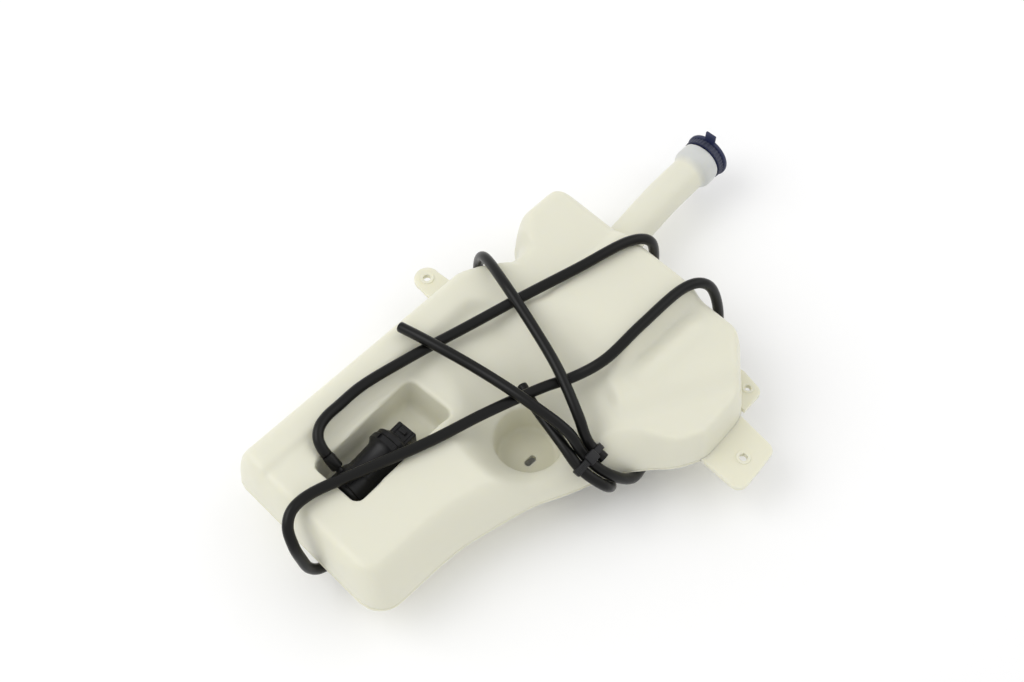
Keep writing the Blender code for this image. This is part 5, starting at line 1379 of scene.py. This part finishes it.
    def build(self, palette: Palette) -> bpy.types.Object:
        """The whole tank.

        Args:
            palette: The materials.

        Returns:
            The finished tank.
        """
        p, n, d, pitch, place = self.pump, self.neck, self.dimple, self.pitch, self.layout.base
        centre = place @ Matrix.Translation((*d.centre, 0.0))
        front, back = self.dimple_sides(0.0)
        tank = self.loft("tank_shell", pitch.insets, pitch.stations, pitch.lines, 0.0)
        tank.combine(self.pocket("pocket_outside", 0.0), Cut.TAKE)
        tank.combine(Solid.turned("dimple", front + [(0.0, d.floor_z)], d.sides, centre), Cut.TAKE)
        floor = d.floor_z - d.floor_thickness
        tank.combine(Solid.turned("back_dimple", [(0.0, floor)] + back, d.sides, centre), Cut.TAKE)
        tank.combine(self.neck_tube("neck_outside", n.radius), Cut.ADD)
        inner = n.flare_run - n.flare_length
        flare = [(0.0, 0.0), (n.flare_radius - n.flare_lip, 0.0), (n.flare_radius, -n.flare_lip),
                 (n.flare_radius, inner), (n.radius, -n.flare_length), (0.0, -n.flare_length)]
        tank.combine(Solid.turned("flare", flare, n.sides, self.layout.mouth), Cut.ADD)
        tank.soften(pitch)
        for piece in [self.seam(), *self.build_ears()]:
            tank.combine(piece, Cut.ADD)

        wall = self.size.wall
        cavity = self.loft("cavity", pitch.inner_insets, pitch.inner_stations, pitch.inner_lines, wall)
        cavity.combine(self.pocket("pocket_inside", wall), Cut.TAKE)
        front, back = self.dimple_sides(wall)
        pillar = front + [(d.back_radius + wall, d.floor_z - wall)] + back[-2:]
        cavity.combine(Solid.turned("pillar", pillar, d.pillar_sides, centre), Cut.TAKE)
        tank.combine(cavity, Cut.TAKE)
        tank.combine(self.neck_tube("neck_bore", n.radius - n.wall), Cut.TAKE)
        bore = Solid.rod("mouth_bore", n.mouth_bore, inner, REACH_PAST, n.sides, self.layout.mouth)
        tank.combine(bore, Cut.TAKE)
        deep = p.pocket_floor - wall - p.grommet_reach
        hole = Solid.rod("grommet_hole", p.grommet_hole, deep, CUT_PAST, p.grommet_sides, self.layout.pump)
        tank.combine(hole, Cut.TAKE)
        tank.combine(self.slot_tool(), Cut.TAKE)
        return tank.finish(palette.tank, Slot.TANK, RESERVOIR, nodes=("tank",), angle=self.size.crease)

    def slot_tool(self) -> Solid:
        """The oblong screw hole through the dimple's floor.

        Returns:
            The tool.
        """
        d = self.dimple
        cx, cy = d.centre[0] + d.slot_offset[0], d.centre[1] + d.slot_offset[1]
        half, radius = (d.slot_length - d.slot_width) / 2, d.slot_width / 2
        outline = (arc((cx + half, cy), radius, -90, 90, d.slot_steps)
                   + arc((cx - half, cy), radius, 90, 270, d.slot_steps))
        return Solid.plate("slot", outline, d.slot_reach, d.floor_z + d.slot_reach, self.layout.base)


@dataclass
class Cap:
    """The push-on filler cap: the frames, the neck that it closes and its own sizes."""

    layout: Layout
    neck: NeckSizes
    size: CapSizes = CapSizes()

    def build(self, palette: Palette) -> list[bpy.types.Object]:
        """The cap's body with its lift tab, and its ribbed grip band.

        Args:
            palette: The materials.

        Returns:
            The two objects.
        """
        c, place = self.size, self.layout.mouth
        plug = self.neck.mouth_bore - c.plug_gap
        low = CLEARANCE
        skirt_top = low + c.skirt_length
        top = skirt_top + c.rim_thickness
        groove = plug - c.seal_thickness / 2
        seat = c.seal_top - c.seal_width - 2 * CLEARANCE
        end = low - c.plug_length
        skirt, ceiling, inside = c.skirt_radius - c.skirt_inset, skirt_top - SINK, plug - c.plug_wall
        crown = [(c.rim_radius * out, top + c.crown * up) for out, up in c.crown_curve]
        rim = arc((c.rim_radius - c.rim_round, top - c.rim_round), c.rim_round, 90, 0, FILLET_STEPS)
        under = [(c.rim_radius, skirt_top + c.edge), (c.rim_radius - c.edge, skirt_top),
                 (skirt, skirt_top - c.edge), (skirt, low)]
        stem = [(plug, low), (plug, c.seal_top), (groove, c.seal_top), (groove, seat), (plug, seat),
                (plug, end + SINK), (plug - SINK, end), (inside, end), (inside, ceiling), (0.0, ceiling)]
        body = Solid.turned("cap_body", crown + rim + under + stem, c.sides, place)
        tab = Solid.box("lift_tab", (c.rim_radius - c.tab_root, -c.tab_width / 2, skirt_top),
                        (c.rim_radius + c.tab_reach, c.tab_width / 2, top - c.tab_drop), place, EDGE_BREAK)
        body.combine(tab, Cut.ADD)
        flat, fall, valley = c.rib_shares
        step = 2 * math.pi / c.ribs
        outline = []
        for k in range(c.ribs):
            for turn, rise in ((0.0, c.rib_height), (flat, c.rib_height), (fall, 0.0), (valley, 0.0)):
                reach, angle = c.skirt_radius + rise, (k + turn) * step
                outline.append((reach * math.cos(angle), reach * math.sin(angle)))
        grip = Solid.plate("cap_grip_band", outline, low + c.grip_margin, skirt_top - c.grip_margin, place)
        core = Solid.rod("grip_core", c.skirt_radius - c.grip_inset, low, skirt_top, c.sides, place)
        grip.combine(core, Cut.TAKE)
        return [body.finish(palette.cap, Slot.CAP, CAP, nodes=("filler_cap",)),
                grip.finish(palette.grip, Slot.CAP, CAP, angle=c.grip_crease)]


@dataclass
class Pump:
    """The washer pump's outer mouldings: the frames and the pump's sizes."""

    layout: Layout
    size: PumpSizes

    def build_cover(self) -> Solid:
        """The base cover with its inlet spigot and its o-ring groove.

        Returns:
            The solid.
        """
        p = self.size
        pilot = p.chamber - CLEARANCE
        top, groove = p.cover + p.pilot, pilot - p.o_ring
        mid, half = p.cover + p.pilot / 2, p.o_ring / 2 + CLEARANCE
        edge = arc((p.base_radius - p.fillet, p.fillet), p.fillet, 0, -90, p.cover_steps)
        upper = [(p.spigot_bore, top), (pilot, top), (pilot, mid + half), (groove, mid + half),
                 (groove, mid - half), (pilot, mid - half), (pilot, p.cover), (p.base_radius, p.cover)]
        spigot = [(p.spigot_radius, 0.0), (p.spigot_radius, SINK - p.spigot_length),
                  (p.spigot_radius - EDGE_BREAK, -p.spigot_length), (p.spigot_bore, -p.spigot_length)]
        return Solid.turned("base_cover", upper + edge + spigot, p.sides, self.layout.pump, closed=True)

    def build_housing(self) -> Solid:
        """The housing with its collar, its ribs and the nozzle that the hose is pushed on.

        Returns:
            The solid.
        """
        p, place = self.size, self.layout.pump
        low, top = p.cover + CLEARANCE, p.housing_top
        bulk_high = p.bulkhead + p.bulkhead_thickness
        seat = p.bulkhead + p.seal_seat_depth
        collar_low = top - p.collar_length
        profile = [(p.motor_bore, top), (p.collar_radius - EDGE_BREAK, top),
                   (p.collar_radius, top - EDGE_BREAK), (p.collar_radius, collar_low),
                   (p.collar_radius - EDGE_BREAK, collar_low - p.collar_step),
                   (p.housing_radius, collar_low - p.collar_run)]
        waist = [((p.housing_radius if up >= 0 else p.base_radius) - inset, p.waist + up)
                 for inset, up in p.waist_curve]
        inside = [(p.base_radius, low + EDGE_BREAK), (p.base_radius - p.collar_step, low), (p.chamber, low),
                  (p.chamber, p.bulkhead), (p.seal_seat_radius, p.bulkhead), (p.seal_seat_radius, seat),
                  (p.shaft_bore, seat), (p.shaft_bore, bulk_high), (p.motor_bore, bulk_high)]
        housing = Solid.turned("housing", profile + waist + inside, p.sides, place, closed=True)
        tip, root = p.base_radius + p.nozzle_length, p.base_radius - p.nozzle_root
        barb = tip - p.barb_length
        stem = [(0.0, tip), (p.nozzle_radius - p.barb_edge, tip), (p.nozzle_barb, barb),
                (p.nozzle_radius, barb - p.barb_edge), (p.nozzle_radius, p.base_radius + CUT_PAST),
                (p.nozzle_radius + SINK, root), (0.0, root)]
        housing.combine(Solid.turned("nozzle", stem, p.nozzle_sides, self.layout.nozzle), Cut.ADD)
        for k in range(p.notches):
            turn = Matrix.Rotation(math.pi * (2 * k + 1) / p.notches, 4, "Z")
            low_corner = (p.collar_radius - p.notch_depth, -p.notch_half, top - p.notch_length)
            high_corner = (p.collar_radius + CUT_PAST, p.notch_half, top + SINK)
            housing.combine(Solid.box("notch", low_corner, high_corner, place @ turn), Cut.TAKE)
        mark = Solid.box("mark", (p.chamber + SINK, -p.mark_half, p.mark_low),
                         (p.base_radius + p.mark_rise, p.mark_half, p.mark_high), place, p.mark_edge)
        housing.combine(mark, Cut.ADD)
        bore = Solid.rod("nozzle_bore", p.nozzle_bore, p.chamber - CUT_PAST, tip + CUT_PAST, p.bore_sides,
                         self.layout.nozzle)
        return housing.combine(bore, Cut.TAKE)

    def build_connector(self) -> Solid:
        """The connector cap: shoulder, two-pin shell, latch and socket.

        Returns:
            The solid.
        """
        p, place = self.size, self.layout.pump
        low = p.housing_top + CLEARANCE
        high = low + p.flange
        rim, crown = p.collar_radius - p.rim_step, high + p.shoulder_rise
        profile = [(0.0, crown), (p.shoulder_radius - p.shoulder_draft, crown),
                   (p.shoulder_radius - EDGE_BREAK, crown - p.rail_drop),
                   (p.shoulder_radius, high + EDGE_BREAK), (rim - p.rail_drop, high),
                   (rim, high - EDGE_BREAK), (rim, low), (0.0, low)]
        cap = Solid.turned("connector", profile, p.sides, place)
        half_w, half_h, wall = p.connector_width / 2, p.connector_height / 2, p.connector_wall
        root, end = high + SINK, high + p.connector_length
        shell = Solid.box("shell", (-half_h, -half_w, root), (half_h, half_w, end), place, p.connector_edge)
        cap.combine(shell, Cut.ADD)
        latch_low, latch_high = (end - back for back in p.latch_span)
        latch = Solid.box("latch", (half_h - SINK, -p.latch_half, latch_low),
                          (half_h + p.latch_rise, p.latch_half, latch_high), place, p.latch_edge)
        cap.combine(latch, Cut.ADD)
        for side in (-1, 1):
            middle = side * p.terminal_y
            rail = Solid.box("rail", (half_h - p.rail_drop, middle - p.rail_half, root + SINK),
                             (half_h + p.rail_rise, middle + p.rail_half, end - p.rail_drop), place,
                             p.rail_edge)
            cap.combine(rail, Cut.ADD)
        socket = Solid.box("socket", (-half_h + wall, -half_w + wall, end - p.connector_depth),
                           (half_h - wall, half_w - wall, end + CUT_PAST), place, p.socket_edge)
        cap.combine(socket, Cut.TAKE)
        slot_h, slot_w = p.terminal_width / 2, p.terminal_thickness / 2
        for side in (-1, 1):
            middle = side * p.terminal_y
            slot = Solid.box("pin_slot", (-slot_h - CLEARANCE, middle - slot_w - CLEARANCE, low - CUT_PAST),
                             (slot_h + CLEARANCE, middle + slot_w + CLEARANCE, end - SINK), place)
            cap.combine(slot, Cut.TAKE)
        return cap

    def build(self, palette: Palette) -> list[bpy.types.Object]:
        """All three mouldings, finished, each standing for its CAD node."""
        pieces = ((self.build_cover(), "pump_base_cover"), (self.build_housing(), "pump_housing"),
                  (self.build_connector(), "connector_cap"))
        return [solid.finish(palette.plastic, Slot.PLASTIC, RESERVOIR, nodes=(node,))
                for solid, node in pieces]


@dataclass
class Harness:
    """The two hoses and the tie that holds them: the frames, the pump's sizes and their own."""

    layout: Layout
    pump: PumpSizes
    tie: TieSizes
    size: HoseSizes = HoseSizes()

    def path(self, route: tuple) -> np.ndarray:
        """A hose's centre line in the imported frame, from its points in the design frame."""
        return smooth_route(route, self.size.pieces) + np.array(self.layout.shift)

    def build_hose(self, name: str, path: np.ndarray) -> tuple[Solid, float]:
        """A hose with open ends along a centre line.

        Args:
            name: The object's name.
            path: The centre line.

        Returns:
            The solid and its length.
        """
        h = self.size
        run = np.concatenate([[0.0], np.cumsum(np.linalg.norm(np.diff(path, axis=0), axis=1))])
        length = float(run[-1])
        body = [(float(s), h.radius) for s in run if h.end_round < s < length - h.end_round]
        start = [(h.bore_depth, 0.0), (h.bore_depth, h.bore), (0.0, h.bore), (0.0, h.radius - h.end_round),
                 (h.end_round, h.radius)]
        rings = start + body + [(length - at, radius) for at, radius in reversed(start)]
        return Solid.swept(name, path, rings, h.sides), length

    def build_cuff(self) -> Solid:
        """The hose's stretched end on the pump's nozzle.

        Returns:
            The solid.
        """
        p, h = self.pump, self.size
        root, tip = p.base_radius + h.cuff_root, p.base_radius + p.nozzle_length
        inner, outer = p.nozzle_barb + h.cuff_gap, h.radius + h.cuff_grow
        profile = [(inner, tip), (h.radius, tip), (outer, tip - h.cuff_lead), (outer, root + h.cuff_edge),
                   (outer - h.cuff_grow, root), (inner, root)]
        return Solid.turned("hose_cuff", profile, p.nozzle_sides, self.layout.nozzle, closed=True)

    def build_tie(self) -> Solid:
        """The tie's oval band, head and toothed tail.

        Returns:
            The solid.
        """
        t, place = self.tie, self.layout.tie
        inner = self.size.radius + t.slack
        outer = inner + t.thickness
        half, skin = t.width / 2, t.thickness / 2
        band, hole = (arc((t.pitch, 0), radius, -90, 90, t.band_steps)
                      + arc((-t.pitch, 0), radius, 90, 270, t.band_steps) for radius in (outer, inner))
        tie = Solid.plate("tie", band, -half, half, place, t.edge)
        tie.combine(Solid.plate("tie_inside", hole, -t.width, t.width, place), Cut.TAKE)
        across, height, along = t.head
        low = outer - skin
        head = Solid.box("head", (-across / 2, low, -along / 2), (across / 2, low + height, along / 2), place,
                         t.head_edge)
        tie.combine(head, Cut.ADD)
        middle = low + height / 2
        far = -across / 2 - t.tail_reach
        tail = Solid.box("tail", (far, middle - skin, -half), (0.0, middle + skin, half), place, t.edge)
        tie.combine(tail, Cut.ADD)
        step = (t.tail_reach - 2 * SINK) / t.teeth
        reach = half * t.tooth_share
        for k in range(t.teeth):
            start = far + SINK + k * step
            groove = Solid.box("tooth", (start, middle + skin - t.tooth_depth, -reach),
                               (start + step / 2, middle + t.thickness, reach), place)
            tie.combine(groove, Cut.TAKE)
        return tie

    def build(self, palette: Palette) -> list[bpy.types.Object]:
        """Both hoses and the tie.

        Args:
            palette: The materials.

        Returns:
            The finished objects.
        """
        h = self.size
        cuff = self.build_cuff().finish(palette.rubber, Slot.RUBBER, RESERVOIR)
        tie = self.build_tie().finish(palette.tie, Slot.PLASTIC, RESERVOIR, nodes=("cable_tie",))
        made = [cuff, tie]
        for name, node, route, pieces in (("hose_to_nozzles", "washer_hose", h.washer_route, [cuff, tie]),
                                          ("hose_from_tie", "second_hose", h.second_route, [])):
            path = self.path(route)
            solid, length = self.build_hose(name, path)
            item = solid.finish(palette.rubber, Slot.RUBBER, RESERVOIR, nodes=(node,), angle=h.crease)
            made.append(item)
        return made


class Studio:
    """Camera, light and floor of the photograph."""

    def __init__(self, layout: Layout, shot: Shot = Shot()) -> None:
        """Take the frames and the photograph's camera."""
        self.target = Vector(shot.target) + layout.shift
        self.shot = shot

    def build_camera(self) -> None:
        """Place the photograph's camera."""
        s = self.shot
        flat = math.cos(s.elevation)
        back = Vector((math.sin(s.azimuth) * flat, -math.cos(s.azimuth) * flat, math.sin(s.elevation)))
        data = bpy.data.cameras.new("camera")
        data.sensor_width = s.sensor
        data.lens = s.sensor * s.focal_pixels / s.picture_width
        camera = bpy.data.objects.new("camera", data)
        bpy.context.scene.collection.objects.link(camera)
        camera.location = self.target + back * s.distance
        camera.rotation_euler = back.to_track_quat("Z", "Y").to_euler()
        bpy.context.scene.camera = camera

    def add_panel(self, panel: Panel) -> None:
        """Hang a soft light that faces the part.

        Args:
            panel: The light's place, size and power.
        """
        data = bpy.data.lights.new(panel.name, "AREA")
        data.size = panel.size
        data.energy = panel.power
        lamp = bpy.data.objects.new(panel.name, data)
        bpy.context.scene.collection.objects.link(lamp)
        lamp.location = self.target + Vector(panel.offset)
        lamp.rotation_euler = Vector(panel.offset).to_track_quat("Z", "Y").to_euler()

    def build_floor(self, palette: Palette) -> None:
        """Lay the white paper that the part lies on.

        Args:
            palette: The materials.
        """
        bpy.ops.mesh.primitive_plane_add(size=PAPER_SIDE, location=(0.0, 0.0, -PAPER_DROP))
        floor = bpy.context.object
        floor.name = "paper_sheet"
        floor.data.materials.append(palette.floor)
        floor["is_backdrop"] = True

    def build(self, palette: Palette) -> None:
        """Set up the whole studio.

        Args:
            palette: The materials.
        """
        self.build_camera()
        self.build_floor(palette)
        self.add_panel(KEY_PANEL)
        self.add_panel(FILL_PANEL)
        scene = bpy.context.scene
        world = bpy.data.worlds.new("tent")
        world.use_nodes = True
        sky = world.node_tree.nodes["Background"].inputs
        sky["Color"].default_value = (1.0, 1.0, 1.0, 1.0)
        sky["Strength"].default_value = TENT_STRENGTH
        scene.world = world
        scene.view_settings.view_transform = "Standard"


def write_sizes(sizes: dict[str, list[list[float]]]) -> None:
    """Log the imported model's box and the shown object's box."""
    LOG.info("sizes: %s", sizes)


def corners() -> list[list[float]]:
    """The shown object's lowest and highest corner now."""
    return [[round(v, 5) for v in corner_point] for corner_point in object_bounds()]


def main() -> None:
    """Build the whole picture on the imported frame."""
    logging.basicConfig(level=logging.INFO, format="%(name)s: %(message)s")
    for item in list(bpy.data.objects):
        bpy.data.objects.remove(item, do_unlink=True)
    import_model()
    packed = corners()
    ears, neck, pump, tie = EarSizes(), NeckSizes(), PumpSizes(), TieSizes()
    layout = Layout(ears, neck, pump, tie)
    palette = Palette(layout.mouth.translation.x - neck.flare_length)
    Studio(layout).build(palette)
    Harness(layout, pump, tie).build(palette)
    Cap(layout, neck).build(palette)
    Pump(layout, pump).build(palette)
    Tank(layout, pump, neck, ears).build(palette)
    write_sizes({"packed": packed, "shown": corners()})


if __name__ == "__main__":
    main()
